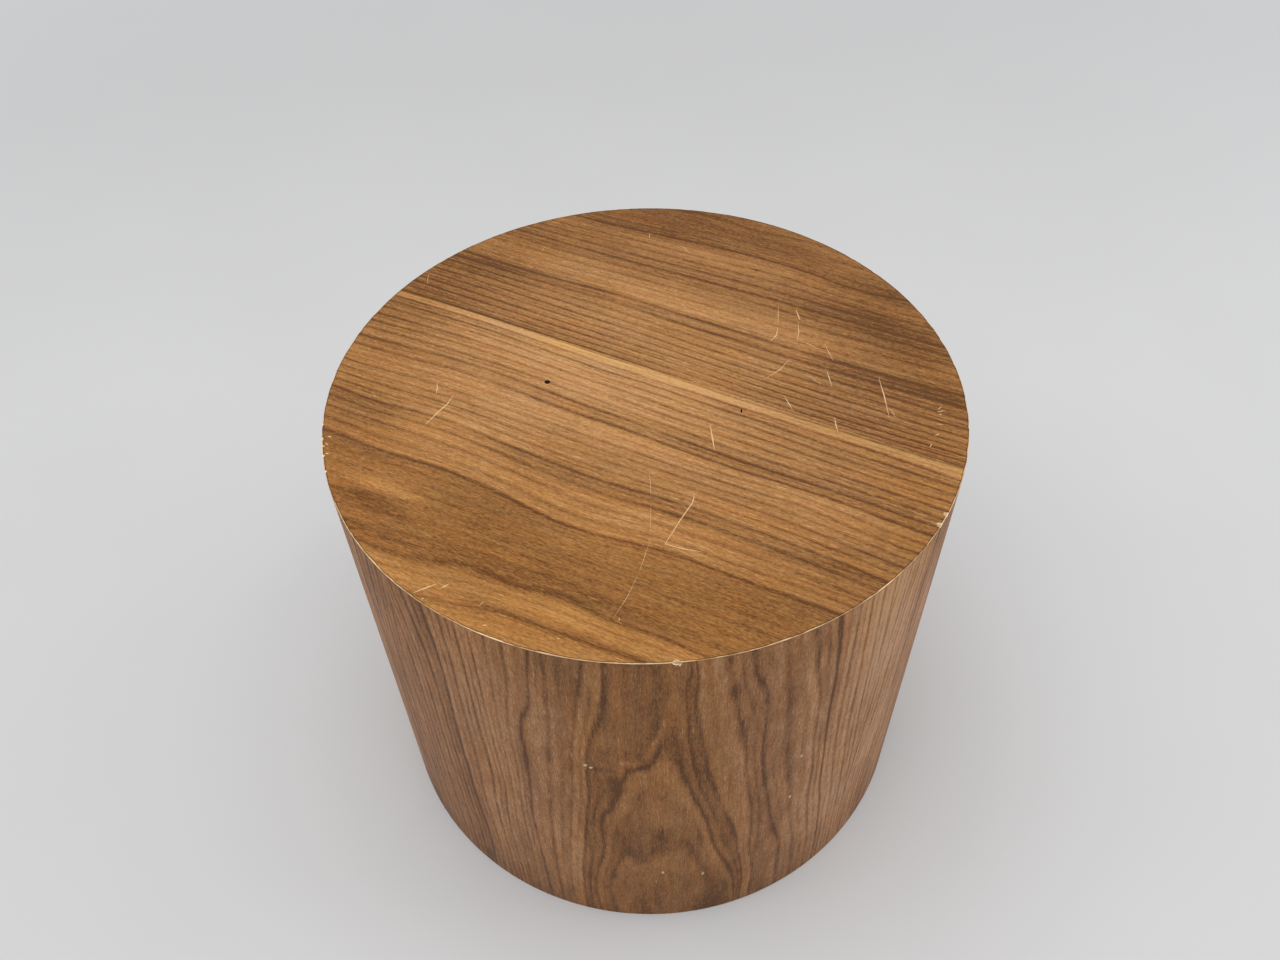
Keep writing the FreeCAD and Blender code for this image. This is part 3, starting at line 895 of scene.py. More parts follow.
def mix_colour(tree, share, first, second, blend="MIX"):
    node = add_node(tree, "ShaderNodeMix", data_type="RGBA", blend_type=blend)
    for index, value in ((0, share), (6, first), (7, second)):
        socket = node.inputs[index]
        if isinstance(value, bpy.types.NodeSocket):
            tree.links.new(value, socket)
        else:
            socket.default_value = (*value, 1.0) if index else value
    return node.outputs[2]


def curve_of(tree, value, points, span):
    """A curve over 0 to span through the given points, straight between them."""
    node = add_node(tree, "ShaderNodeFloatCurve", {"Value": calculate(tree, "DIVIDE", value, span)})
    curve = node.mapping.curves[0]
    while len(curve.points) > 2:
        curve.points.remove(curve.points[1])
    curve.points[0].location = (points[0][0] / span, points[0][1])
    curve.points[1].location = (points[-1][0] / span, points[-1][1])
    for place, height in points[1:-1]:
        curve.points.new(place / span, height)
    for point in curve.points:
        point.handle_type = "VECTOR"
    node.mapping.update()
    return node.outputs[0]


def ramp(tree, value, stops):
    node = add_node(tree, "ShaderNodeValToRGB", {"Fac": value})
    elements = node.color_ramp.elements
    while len(elements) > 1:
        elements.remove(elements[0])
    elements[0].position = stops[0][0]
    elements[0].color = (*stops[0][1], 1.0)
    for place, tint in stops[1:]:
        elements.new(place).color = (*tint, 1.0)
    return node.outputs["Color"]


def shade(tint, factor):
    return [min(1.0, part * factor) for part in tint]


def shaded_ramp(tree, value, tint, shades):
    return ramp(tree, value, [(place, shade(tint, factor)) for place, factor in shades])


def noise(tree, places, sizes, detail, roughness, shift=(0, 0, 0)):
    """Noise whose grains have these sizes, in millimetres, along the three axes."""
    scale = tuple(1.0 / (size * MM) for size in sizes)
    moved = add_node(
        tree, "ShaderNodeMapping", {"Vector": places, "Scale": scale, "Location": shift}
    )
    node = add_node(
        tree, "ShaderNodeTexNoise",
        {"Vector": moved.outputs[0], "Scale": 1.0, "Detail": detail, "Roughness": roughness},
    )
    return node.outputs["Fac"]


def pattern(tree, places, name):
    return noise(tree, places, *PATTERNS[name])


def share_of(tree, places, name):
    """How much of one kind of mark each place has."""
    return map_range(tree, pattern(tree, places, name), *SHARES[name])


def swing(tree, value, amount):
    """Noise from 0 to 1 turned into a swing about zero."""
    centred = calculate(tree, "SUBTRACT", value, 0.5)
    return times(tree, centred, 2 * amount)


def surface(tree, tint, roughness, height=None, bump=0.0, bump_distance=0.0, **sockets):
    """The shader that every finish ends in. Values that are the same all over stay on it."""
    shader = add_node(
        tree, "ShaderNodeBsdfPrincipled", {"Base Color": tint, "Roughness": roughness}
    )
    for name, value in sockets.items():
        shader.inputs[SHADER_SOCKETS[name]].default_value = value
    if height is not None:
        relief = add_node(
            tree, "ShaderNodeBump",
            {"Height": height, "Strength": bump, "Distance": bump_distance},
        )
        tree.links.new(relief.outputs[0], shader.inputs["Normal"])
    out = add_node(tree, "ShaderNodeOutputMaterial")
    tree.links.new(shader.outputs[0], out.inputs["Surface"])


def line_strength(tree, ring, lines):
    last = len(lines) - 1
    return curve_of(tree, ring, tuple(enumerate(lines)), last)


def veneer_figure(tree, places, grain, look, strength_of, tones):
    """How dark the figure is: lines at whole ring numbers, on a ground that changes.

    Returns the depth and the ring number at each place."""
    line_depth, wash_depth, *faint_depths = look["line_depths"]
    ring = total(
        tree, kept_number(tree, "growth"),
        swing(tree, pattern(tree, grain, "line wander"), look["sway"]),
        swing(tree, pattern(tree, grain, "line roughness"), LINE_ROUGHNESS),
    )
    nearest = calculate(tree, "PINGPONG", ring, 0.5)
    line = map_range(tree, nearest, 0.0, look["softness"], 1.0, 0.0)
    since = calculate(tree, "FRACT", ring)
    wash = calculate(tree, "POWER", calculate(tree, "SUBTRACT", 1.0, since), 2.0)
    halfway = calculate(tree, "PINGPONG", total(tree, ring, 0.5), 0.5)
    faint = map_range(tree, pattern(tree, grain, "faint lines"), *FAINT_SPAN, *faint_depths)
    between = times(tree, map_range(tree, halfway, 0.0, FAINT_WIDTH, 1.0, 0.0), faint)
    lines = total(tree, times(tree, line, line_depth), times(tree, wash, wash_depth), between)
    drawn = times(tree, strength_of(tree, places, ring), lines)
    drawn = times(tree, drawn, share_of(tree, grain, "line fade"))
    ground = curve_of(tree, ring, tones, tones[-1][0])
    return total(tree, ground, drawn, kept_number(tree, "patches")), ring


def with_cast(tree, share, tint, cast):
    return mix_colour(tree, share, tint, mix_colour(tree, 1.0, tint, cast, "MULTIPLY"))


def with_casts(tree, tint, grain, ring, golden, from_rim):
    """Soft patches of other browns, then golden brown in some rings and near the rim."""
    for number, (sizes, amount, cast) in enumerate(COLOUR_CASTS):
        place = noise(tree, grain, sizes, 2.0, 0.5, (6, number, 1))
        tint = with_cast(tree, map_range(tree, place, *CAST_SPAN, 0.0, amount), tint, cast)
    aged = calculate(
        tree, "MAXIMUM", map_range(tree, ring, *golden), map_range(tree, from_rim, *RIM_GOLDEN)
    )
    return with_cast(tree, aged, tint, GOLDEN_CAST)


def with_sapwood(tree, tint, grain, ring, sapwood):
    """The pale band beside the seam, broken up by threads of darker wood."""
    band = times(
        tree, map_range(tree, ring, *SAPWOOD_START), map_range(tree, ring, *SAPWOOD_END, 1.0, 0.0)
    )
    band = times(tree, band, kept_number(tree, "sapwood"))
    share = times(tree, band, share_of(tree, grain, "sapwood threads"))
    return mix_colour(tree, share, tint, sapwood)


def rim_wear_highlight_and_shadow(tree, places, from_rim):
    """How bare the rim is worn, partly a painted highlight, and the painted shadow line beyond it."""
    width = bpy.context.scene.drum_table_sizes.wear_and_highlight_width
    reach = map_range(
        tree, pattern(tree, places, "wear and highlight edge"), *WEAR_HIGHLIGHT_SPAN, WEAR_HIGHLIGHT_LEAST * width, WEAR_HIGHLIGHT_MOST * width
    )
    beyond = calculate(tree, "SUBTRACT", from_rim, reach)
    # Painted highlight: the pale line along the eased rim is partly real wear, partly a painted
    # highlight
    wear_and_highlight = map_range(tree, beyond, -WEAR_HIGHLIGHT_BLUR, WEAR_HIGHLIGHT_BLUR, 1.0, 0.0)
    off_middle = calculate(tree, "ABSOLUTE", calculate(tree, "SUBTRACT", beyond, RIM_SHADOW_MIDDLE))
    return (
        times(tree, wear_and_highlight, share_of(tree, places, "wear and highlight patches")),
        map_range(tree, off_middle, *RIM_SHADOW),
    )


def specks(tree, places):
    """Small spots of bare wood, in some cells of a loose grid."""
    cells = add_node(
        tree, "ShaderNodeTexVoronoi", {"Vector": places, "Scale": SPECK_CELLS}, feature="F1"
    )
    chance = add_node(tree, "ShaderNodeSeparateColor", {"Color": cells.outputs["Color"]})
    size = map_range(tree, chance.outputs["Red"], *SPECK_SIZES, "LINEAR")
    return calculate(tree, "LESS_THAN", cells.outputs["Distance"], size)


def veneer(name, look, strength_of, tones, tints, golden, sapwood=None):
    """Lacquered walnut veneer. look holds what all leaves of the top or of the side share,
    strength_of gives how strong the growth lines are, tones the ground by ring, and golden
    the rings over which the wood turns golden brown."""
    light, middle, dark = tints
    material, tree, places = new_finish(name)
    grain = look["grain_of"](tree, places)
    from_rim = look["from_rim_of"](tree, places)
    figure, ring = veneer_figure(tree, places, grain, look, strength_of, tones)
    streaks = {}
    for number, (kind, amount) in enumerate(look["swings"].items()):
        streak = noise(
            tree, grain, STREAK_SIZES[kind], STREAK_DETAIL, STREAK_ROUGHNESS, (number, 5, 9)
        )
        streaks[kind] = swing(tree, streak, amount)
    pores = share_of(tree, grain, "pores")
    flecks = share_of(tree, grain, "flecks")
    depth = total(
        tree, figure, *streaks.values(), times(tree, pores, PORE_DEPTH),
        times(tree, flecks, FLECK_DEPTH),
    )
    tint = ramp(tree, depth, ((0.0, light), (MIDDLE_TONE, middle), (1.0, dark)))
    tint = with_casts(tree, tint, grain, ring, golden, from_rim)
    if sapwood:
        tint = with_sapwood(tree, tint, grain, ring, sapwood)
    wear_and_highlight, rim_shadow = rim_wear_highlight_and_shadow(tree, places, from_rim)
    # Painted shadow: darkens the thin line just beyond the worn edge
    tint = mix_colour(tree, rim_shadow, tint, shade(dark, RIM_SHADOW_SHADE))
    # The rim's pale line in this mask is partly real wear, partly a painted highlight; the specks are
    # bare wood
    bare = calculate(tree, "MAXIMUM", wear_and_highlight, times(tree, specks(tree, places), SPECK_SHARE))
    tint = mix_colour(tree, bare, tint, bpy.context.scene.drum_table_colours.bare_wood)
    roughness = total(
        tree, 0.54, times(tree, pores, 0.08), times(tree, streaks["cloud"], 0.1),
        times(tree, bare, 0.2),
    )
    height = total(tree, times(tree, pores, -1.0), times(tree, streaks["fibres"], 2.0))
    surface(tree, tint, roughness, height, bump=0.25, bump_distance=0.08 * MM, specular=0.12)
    return material


def top_grain(tree, places):
    turned = add_node(
        tree, "ShaderNodeMapping",
        {"Vector": places, "Rotation": (0, 0, math.radians(-TOP_GRAIN_TURN))},
    )
    return turned.outputs[0]


def side_grain(tree, places):
    parts = add_node(tree, "ShaderNodeSeparateXYZ", {0: places}).outputs
    return add_node(tree, "ShaderNodeCombineXYZ", {0: parts[2], 1: parts[0], 2: parts[1]}).outputs[0]


def height_of(tree, places):
    return add_node(tree, "ShaderNodeSeparateXYZ", {0: places}).outputs[2]


def below_rim(tree, places):
    return calculate(tree, "SUBTRACT", TABLE_HEIGHT, height_of(tree, places))


def inside_rim(tree, places):
    flat = add_node(tree, "ShaderNodeVectorMath", {0: places, 1: (1, 1, 0)}, operation="MULTIPLY")
    reach = add_node(tree, "ShaderNodeVectorMath", {0: flat.outputs[0]}, operation="LENGTH")
    return calculate(tree, "SUBTRACT", DRUM_RADIUS, reach.outputs["Value"])


TOP_LOOK = {
    "grain_of": top_grain, "from_rim_of": inside_rim, "line_depths": TOP_LINE_DEPTHS,
    "softness": 0.32, "sway": 0.16, "swings": TOP_SWINGS,
}
SIDE_LOOK = {
    "grain_of": side_grain, "from_rim_of": below_rim, "line_depths": SIDE_LINE_DEPTHS,
    "softness": 0.19, "sway": 0.06, "swings": SIDE_SWINGS,
}


def top_veneer(name, lines, tones, golden, sapwood=None):
    colours = bpy.context.scene.drum_table_colours
    tints = (colours.top_light, colours.top_middle, colours.top_dark)

    def strength_of(tree, places, ring):
        return line_strength(tree, ring, lines)

    return veneer(name, TOP_LOOK, strength_of, tones, tints, golden, sapwood)


def side_strength(tree, places, ring):
    """Left and right of the figure's axis the lines differ, and they fade downwards."""
    sideways = kept_number(tree, "sideways")
    left = line_strength(tree, ring, SIDE_LEFT_LINES)
    right = line_strength(tree, ring, SIDE_RIGHT_LINES)
    strength = map_range(tree, sideways, -AXIS_BLEND, AXIS_BLEND, left, right)
    outer = map_range(tree, calculate(tree, "ABSOLUTE", sideways), *OUTER_LINES)
    lower = map_range(tree, below_rim(tree, places), *LOWER_LINES)
    return times(tree, strength, times(tree, outer, lower))


def side_veneer(name):
    colours = bpy.context.scene.drum_table_colours
    tints = (colours.side_light, colours.side_middle, colours.side_dark)
    return veneer(name, SIDE_LOOK, side_strength, SIDE_TONES, tints, SIDE_GOLDEN)


def bare_wood(name, tint, darkest=TORN_SHADE):
    """Torn or rubbed wood: pale, dull and a little fibrous."""
    material, tree, places = new_finish(name)
    fibres = pattern(tree, places, "torn fibres")
    lit = map_range(tree, fibres, *NOISE_SPAN)
    tint = mix_colour(tree, lit, shade(tint, darkest), tint)
    surface(tree, tint, 0.85, fibres, bump=0.4, bump_distance=0.1 * MM, specular=0.1)
    return material


def board_finish(name, tint):
    """Pressed chips of wood, in a few tones."""
    material, tree, places = new_finish(name)
    chips = add_node(
        tree, "ShaderNodeTexVoronoi", {"Vector": places, "Scale": 420.0}, feature="F1"
    )
    tone = add_node(tree, "ShaderNodeSeparateColor", {"Color": chips.outputs["Color"]}).outputs[0]
    tone = total(tree, tone, swing(tree, pattern(tree, places, "chip tones"), 0.3))
    tint = shaded_ramp(tree, tone, tint, CHIP_SHADES)
    surface(tree, tint, 0.82, chips.outputs["Distance"], bump=0.5, bump_distance=0.2 * MM)
    return material


def layered_wood(name, tint, depth_of, layers):
    """Plywood: thin layers of turned grain, dark glue between them, fibres on the faces."""
    material, tree, places = new_finish(name)
    thickness, grain_sizes = layers
    level = calculate(tree, "DIVIDE", depth_of(tree, places), thickness * MM)
    glue = map_range(tree, calculate(tree, "PINGPONG", level, 0.5), 0.0, GLUE_WIDTH, 1.0, 0.0)
    odd = calculate(tree, "LESS_THAN", calculate(tree, "PINGPONG", level, 1.0), 0.5)
    fibres = noise(tree, places, grain_sizes, 3.0, 0.6)
    tone = total(
        tree, swing(tree, fibres, 0.35), 0.4, times(tree, odd, 0.22), times(tree, glue, 0.35)
    )
    tint = shaded_ramp(tree, tone, tint, LAYER_SHADES)
    surface(tree, tint, 0.72, fibres, bump=0.35, bump_distance=0.15 * MM)
    return material


def softwood_finish(name, tint):
    """Sawn softwood with upright growth lines."""
    material, tree, places = new_finish(name)
    bends = pattern(tree, places, "softwood bends")
    lines = add_node(
        tree, "ShaderNodeTexWave",
        {"Vector": places, "Scale": 55.0, "Distortion": 1.5, "Detail": 1.0, "Detail Scale": 0.4},
        wave_type="BANDS", bands_direction="X", wave_profile="SAW",
    )
    fibres = pattern(tree, places, "softwood fibres")
    tone = total(
        tree, times(tree, lines.outputs["Fac"], 0.45), swing(tree, fibres, 0.2),
        swing(tree, bends, 0.15),
    )
    tint = shaded_ramp(tree, tone, tint, SOFTWOOD_SHADES)
    surface(tree, tint, 0.7, fibres, bump=0.3, bump_distance=0.15 * MM)
    return material


def hardboard_finish(name, tint):
    """Pressed wood felt, a little cloudy."""
    material, tree, places = new_finish(name)
    felt = pattern(tree, places, "felt")
    tone = total(tree, felt, swing(tree, pattern(tree, places, "felt clouds"), 0.2))
    tint = shaded_ramp(tree, tone, tint, HARDBOARD_SHADES)
    surface(tree, tint, 0.58, felt, bump=0.3, bump_distance=0.1 * MM)
    return material


def zinc_finish(name, tint):
    """Plated steel with a fine spangle and duller places."""
    material, tree, places = new_finish(name)
    spangle = pattern(tree, places, "spangle")
    roughness = map_range(tree, pattern(tree, places, "dull zinc"), *NOISE_SPAN, 0.28, 0.48)
    tint = shaded_ramp(tree, spangle, tint, ZINC_SHADES)
    surface(tree, tint, roughness, spangle, bump=0.15, bump_distance=0.05 * MM, metallic=1.0)
    return material


def nylon_finish(name, tint):
    """Moulded nylon with a faint bloom and grey scuffs."""
    material, tree, places = new_finish(name)
    bloom = pattern(tree, places, "bloom")
    scuffs = share_of(tree, places, "scuffs")
    bloomed = map_range(tree, bloom, *NOISE_SPAN, 0.0, 0.3)
    shaded = mix_colour(tree, bloomed, tint, shade(tint, 0.8))
    shaded = mix_colour(tree, times(tree, scuffs, 0.35), shaded, shade(tint, 0.6))
    roughness = map_range(tree, bloom, *NOISE_SPAN, 0.38, 0.52)
    surface(
        tree, shaded, roughness, scuffs, bump=0.2, bump_distance=0.05 * MM, subsurface=0.08
    )
    return material


# Cutters for marks and chips


def scratch_rod(width, path):
    """A square rod along one scratch, half sunk in the top face, with pointed ends."""
    if len(path) == 2:
        path = (path[0], [sum(pair) / 2 for pair in zip(*path)], path[1])
    places = [Vector((x * MM, y * MM, TABLE_HEIGHT)) for x, y in path]
    runs = [end - start for start, end in zip(places, places[1:])]
    headings = [math.atan2(run.y, run.x) for run in runs]
    turns = [headings[0], *[(a + b) / 2 for a, b in zip(headings, headings[1:])], headings[-1]]
    deselect_all()
    bpy.ops.mesh.primitive_circle_add(
        vertices=4, radius=SCRATCH_TIP * width * MM / 2, fill_type="NGON", location=places[0],
        rotation=(0, math.pi / 2, turns[0]),
    )
    rod = added("scratch")
    apply_place(rod)
    edit(rod)
    last = len(runs) - 1
    for number, (run, place) in enumerate(zip(runs, places[1:])):
        bpy.ops.mesh.extrude_region_move(TRANSFORM_OT_translate={"value": run})
        bpy.ops.transform.rotate(
            value=turns[number] - turns[number + 1], orient_axis="Z", orient_type="GLOBAL",
            center_override=place,
        )
        swell = (1 / SCRATCH_TIP if number == 0 else 1.0) * (SCRATCH_TIP if number == last else 1.0)
        bpy.ops.transform.resize(value=(swell, swell, swell), center_override=place)
    face_outwards()
    leave_edit()
    return rod


def scratch_cutter(finish):
    cutter = joined([scratch_rod(width, path) for width, path in SCRATCHES], "scratch_cutter")
    cutter.data.materials.append(finish)
    return cutter


def stone(name, place, half_sizes, rotation, finish, facets=1):
    """A rough faceted stone that breaks a mark out of an edge or a face."""
    deselect_all()
    bpy.ops.mesh.primitive_ico_sphere_add(
        subdivisions=facets, radius=1.0, location=place, rotation=rotation, scale=half_sizes
    )
    cutter = added(name)
    apply_place(cutter)
    cutter.data.materials.append(finish)
    return cutter


def on_drum(turn, height):
    """A point of the drum's side, at this turn from the front."""
    return (DRUM_RADIUS * math.sin(turn), -DRUM_RADIUS * math.cos(turn), height)


def rim_chip_cutters(chips, finish):
    cutters = []
    for angle, *halves in chips:
        turn = math.radians(angle)
        half_sizes = [half * MM for half in halves]
        place = on_drum(turn, TABLE_HEIGHT)
        cutters.append(stone("rim_chip", place, half_sizes, (0, 0, turn), finish))
    return cutters


def side_dent_cutters(bare, rubbed):
    """Wide dents go down to bare wood, and narrow ones only rub the lacquer."""
    sizes = bpy.context.scene.drum_table_sizes
    cutters = []
    for arc, down, half_width, half_height, lean in SIDE_DENTS:
        turn = arc * MM / DRUM_RADIUS
        place = on_drum(turn, TABLE_HEIGHT - down * MM)
        halves = (half_width * MM, sizes.dent_depth, half_height * MM)
        rotation = (0, math.radians(lean), turn)
        finish = bare if half_width > BARE_DENT else rubbed
        cutters.append(stone("side_dent", place, halves, rotation, finish))
    return cutters


def top_pit_cutters(dark):
    cutters = []
    for x, y, half_x, half_y in (PIN_HOLE, DARK_DASH):
        place = (x * MM, y * MM, TABLE_HEIGHT)
        halves = (half_x * MM, half_y * MM, PIT_DEPTH * VENEER_THICKNESS)
        cutters.append(stone("pit", place, halves, (0, 0, 0), dark, 2))
    return cutters


# Leaves


def top_face():
    """The whole veneered face as one round leaf with an eased rim."""
    sizes = bpy.context.scene.drum_table_sizes
    deselect_all()
    bpy.ops.mesh.primitive_cylinder_add(
        vertices=sizes.rim_segments, radius=DRUM_RADIUS, depth=VENEER_THICKNESS,
        location=(0, 0, (FACE_BOTTOM + TABLE_HEIGHT) / 2),
    )
    leaf = added("top_face")
    apply_place(leaf)
    edit(leaf)
    near_top = TABLE_HEIGHT - CLOSE
    select_parts(leaf, "edges", lambda e: all(v.co.z > near_top for v in e.verts))
    bpy.ops.mesh.bevel(offset=sizes.eased_edge, segments=EASE_SEGMENTS, affect="EDGES")
    select_parts(leaf, "faces", lambda f: f.normal.z > FACING and len(f.verts) > 4)
    reach = DRUM_RADIUS - sizes.eased_edge
    while reach > LAST_RING * sizes.mesh_step:
        bpy.ops.mesh.inset(thickness=sizes.mesh_step)
        reach -= sizes.mesh_step
    bpy.ops.mesh.poke()
    leave_edit()
    return leaf


def part_at_seam(leaf, keep_front):
    """Cuts the round face along the seam and closes the cut."""
    turn = math.radians(TOP_SEAM_TURN)
    normal = (-math.sin(turn), math.cos(turn), 0)
    place = [TOP_SEAM_OFFSET * MM * value for value in normal]
    edit(leaf)
    bpy.ops.mesh.select_all(action="SELECT")
    bpy.ops.mesh.bisect(
        plane_co=place, plane_no=normal, use_fill=True, clear_outer=keep_front,
        clear_inner=not keep_front,
    )
    face_outwards()
    leave_edit()


def top_leaf(side, finish, growth, patches, cutters):
    leaf = top_face()
    part_at_seam(leaf, side == "front")
    leaf.name = f"top_leaf_{side}_veneer"
    leaf.data.materials.append(finish)
    for cutter in cutters:
        cut_away(leaf, cutter)
    places = top_grain_places(points_of(leaf))
    store(leaf, "growth", ring_numbers(growth, places, TOP_STRETCH))
    store(leaf, "patches", patch_depths(patches, places))
    store(leaf, "sapwood", patch_depths(SAPWOOD, places))
    smooth(leaf, LEAF_ANGLE)
    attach(leaf, "drum")
    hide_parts(f"top_leaf_{side}")
    return leaf


def side_leaf(number, name, finish, cutters):
    """One curved leaf, spun from a thin upright section."""
    sizes = bpy.context.scene.drum_table_sizes
    start = math.radians(SIDE_LEAF_TURN + (number - 0.5) * SIDE_LEAF_ANGLE)
    height = FACE_BOTTOM - SIDE_BOTTOM
    deselect_all()
    bpy.ops.mesh.primitive_plane_add(
        size=1.0, location=(0, -DRUM_RADIUS + VENEER_THICKNESS / 2, SIDE_BOTTOM + height / 2),
        rotation=(0, math.pi / 2, 0),
    )
    leaf = added(f"side_leaf_{name}_veneer")
    leaf.scale = (height, VENEER_THICKNESS, 1.0)
    apply_place(leaf)
    edit(leaf)
    outside = -DRUM_RADIUS + CLOSE
    select_parts(leaf, "edges", lambda e: all(v.co.y < outside for v in e.verts))
    bpy.ops.mesh.subdivide(number_cuts=round(height / sizes.mesh_step) - 1)
    bpy.ops.mesh.select_all(action="SELECT")
    bpy.ops.transform.rotate(
        value=-start, orient_axis="Z", orient_type="GLOBAL", center_override=(0, 0, 0)
    )
    steps = round(math.radians(SIDE_LEAF_ANGLE) * DRUM_RADIUS / sizes.mesh_step)
    bpy.ops.mesh.spin(
        steps=steps, angle=math.radians(SIDE_LEAF_ANGLE), center=(0, 0, 0), axis=(0, 0, -1)
    )
    bpy.ops.mesh.select_all(action="SELECT")
    bpy.ops.mesh.remove_doubles(threshold=CLOSE)
    face_outwards()
    leave_edit()
    leaf.data.materials.append(finish)
    for cutter in cutters:
        cut_away(leaf, cutter)
    places = side_leaf_places(points_of(leaf), number)
    store(leaf, "growth", ring_numbers(SIDE_GROWTH, places, SIDE_STRETCH))
    store(leaf, "patches", patch_depths(SIDE_PATCHES_AND_PAINTED_LIGHT, places))
    store(leaf, "sideways", places[:, 0] * MM)
    smooth(leaf, LEAF_ANGLE)
    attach(leaf, "drum")
    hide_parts(f"side_leaf_{name}")
    return leaf


# Feet and screws


def cylinder(name, radius, low, high, vertices=64, place=(0, 0)):
    """An upright cylinder between two heights."""
    deselect_all()
    bpy.ops.mesh.primitive_cylinder_add(
        vertices=vertices, radius=radius, depth=high - low,
        location=(place[0], place[1], (low + high) / 2),
    )
    item = added(name)
    apply_place(item)
    return item


def round_rim(item, height, radius, offset, segments=3):
    """Rounds the ring of edges at one height and radius."""
    near = RING_NEAR
    select_parts(
        item, "edges",
        lambda e: all(
            abs(v.co.z - height) < near and abs(v.co.xy.length - radius) < near for v in e.verts
        ),
    )
    bpy.ops.mesh.bevel(offset=offset, segments=segments, affect="EDGES")


def copied(item, name, move, turn=0.0):
    """A copy with its own mesh, turned and moved to its place."""
    make_active(item)
    bpy.ops.object.duplicate()
    copy = added(name)
    copy.location = move
    copy.rotation_euler.z = turn
    apply_place(copy)
    return copy


def sink(margin, depth, **settings):
    """Sinks the selected faces by a depth, a margin inside their edges."""
    bpy.ops.mesh.inset(thickness=margin, depth=-depth, **settings)


def fluted_pad():
    """A moulded pad on the drum's axis: band with flutes, sloping shoulder, dished sole."""
    sizes = bpy.context.scene.drum_table_sizes
    pad = cylinder("foot_pad", PAD_RADIUS, 0, sizes.pad_band, 2 * sizes.pad_flutes)
    edit(pad)
    select_parts(pad, "faces", lambda f: f.normal.z > FACING)
    bpy.ops.mesh.inset(thickness=PAD_RADIUS - sizes.pad_crown)
    bpy.ops.transform.translate(value=(0, 0, PAD_HEIGHT - sizes.pad_band))
    bpy.ops.mesh.inset(thickness=CROWN_MARGIN * sizes.pad_crown)
    sink(*CROWN_GROOVE)
    select_parts(pad, "faces", lambda f: f.normal.z < -FACING)
    bpy.ops.mesh.inset(thickness=SOLE_MARGIN)
    sink(*SOLE_DISH)
    round_rim(pad, 0, PAD_RADIUS, SOLE_ROUND)
    round_rim(pad, PAD_HEIGHT, sizes.pad_crown, CROWN_ROUND, 2)
    step = math.pi / sizes.pad_flutes
    select_parts(
        pad, "faces",
        lambda f: abs(f.normal.z) < UPRIGHT
        and f.calc_center_median().xy.length > FLUTED_ZONE * PAD_RADIUS
        and round(math.atan2(f.normal.y, f.normal.x) / step - 0.5) % 2 == 0,
    )
    sink(*FLUTE, use_individual=True)
    leave_edit()
    smooth(pad, PAD_ANGLE)
    return pad


def thread_sleeve():
    """A closed helical thread, a little longer than the stem at both ends."""
    sizes = bpy.context.scene.drum_table_sizes
    pitch = sizes.thread_pitch
    low = STEM_BOTTOM - THREAD_SPARE / 2 * pitch
    root = sizes.stem_radius - sizes.thread_depth
    peak = sizes.stem_radius + THREAD_PROUD
    middle = (root + peak) / 2
    deselect_all()
    bpy.ops.mesh.primitive_plane_add(
        size=1.0, location=(middle, 0, low + pitch / 2), rotation=(math.pi / 2, 0, 0)
    )
    sleeve = added("stem_thread")
    sleeve.scale = (peak - root, pitch, 1.0)
    apply_place(sleeve)
    edit(sleeve)
    select_parts(sleeve, "edges", lambda e: all(v.co.x > middle for v in e.verts))
    bpy.ops.mesh.merge(type="CENTER")
    select_parts(sleeve, "edges", lambda e: all(v.co.x < middle for v in e.verts))
    bpy.ops.mesh.delete(type="EDGE_FACE")
    leave_edit()
    turns = math.ceil((STEM_TOP - STEM_BOTTOM) / pitch) + THREAD_SPARE
    apply_modifier(
        sleeve, "SCREW", axis="Z", angle=math.tau, steps=THREAD_STEPS, render_steps=THREAD_STEPS,
        screw_offset=pitch, iterations=turns, use_merge_vertices=True, merge_threshold=CLOSE,
    )
    edit(sleeve)
    for height, clear_outer in ((STEM_BOTTOM - pitch / 2, False), (STEM_TOP + pitch / 2, True)):
        bpy.ops.mesh.select_all(action="SELECT")
        bpy.ops.mesh.bisect(
            plane_co=(0, 0, height), plane_no=(0, 0, 1), use_fill=True,
            clear_outer=clear_outer, clear_inner=not clear_outer,
        )
    face_outwards()
    leave_edit()
    return sleeve


def keep_common(item, other):
    """Keeps what one mesh shares with another, which then goes."""
    apply_modifier(item, "BOOLEAN", operation="INTERSECT", solver="EXACT", object=other)
    remove(other)


def threaded_stem():
    """A stem on the drum's axis: chamfered tip, helical thread and chamfered collar."""
    sizes = bpy.context.scene.drum_table_sizes
    crest = sizes.stem_radius - CREST_CUT
    stem = cylinder("foot_stem", crest, STEM_BOTTOM, STEM_TOP, 48)
    edit(stem)
    round_rim(stem, STEM_TOP, crest, sizes.stem_tip, 1)
    leave_edit()
    keep_common(stem, thread_sleeve())
    top = PAD_HEIGHT + sizes.collar_height
    corner = sizes.collar_width / math.sqrt(3)
    collar = cylinder("collar", corner, PAD_HEIGHT, top, 6)
    make_active(collar)
    collar.rotation_euler.z = math.pi / 6
    apply_place(collar)
    round_radius = corner - COLLAR_CUT
    rounding = cylinder("collar_rounding", round_radius, PAD_HEIGHT, top)
    edit(rounding)
    for height in (PAD_HEIGHT, top):
        round_rim(rounding, height, round_radius, COLLAR_CHAMFER, 1)
    leave_edit()
    keep_common(collar, rounding)
    stem = joined([stem, collar], "foot_stem")
    smooth(stem, STEM_ANGLE)
    return stem


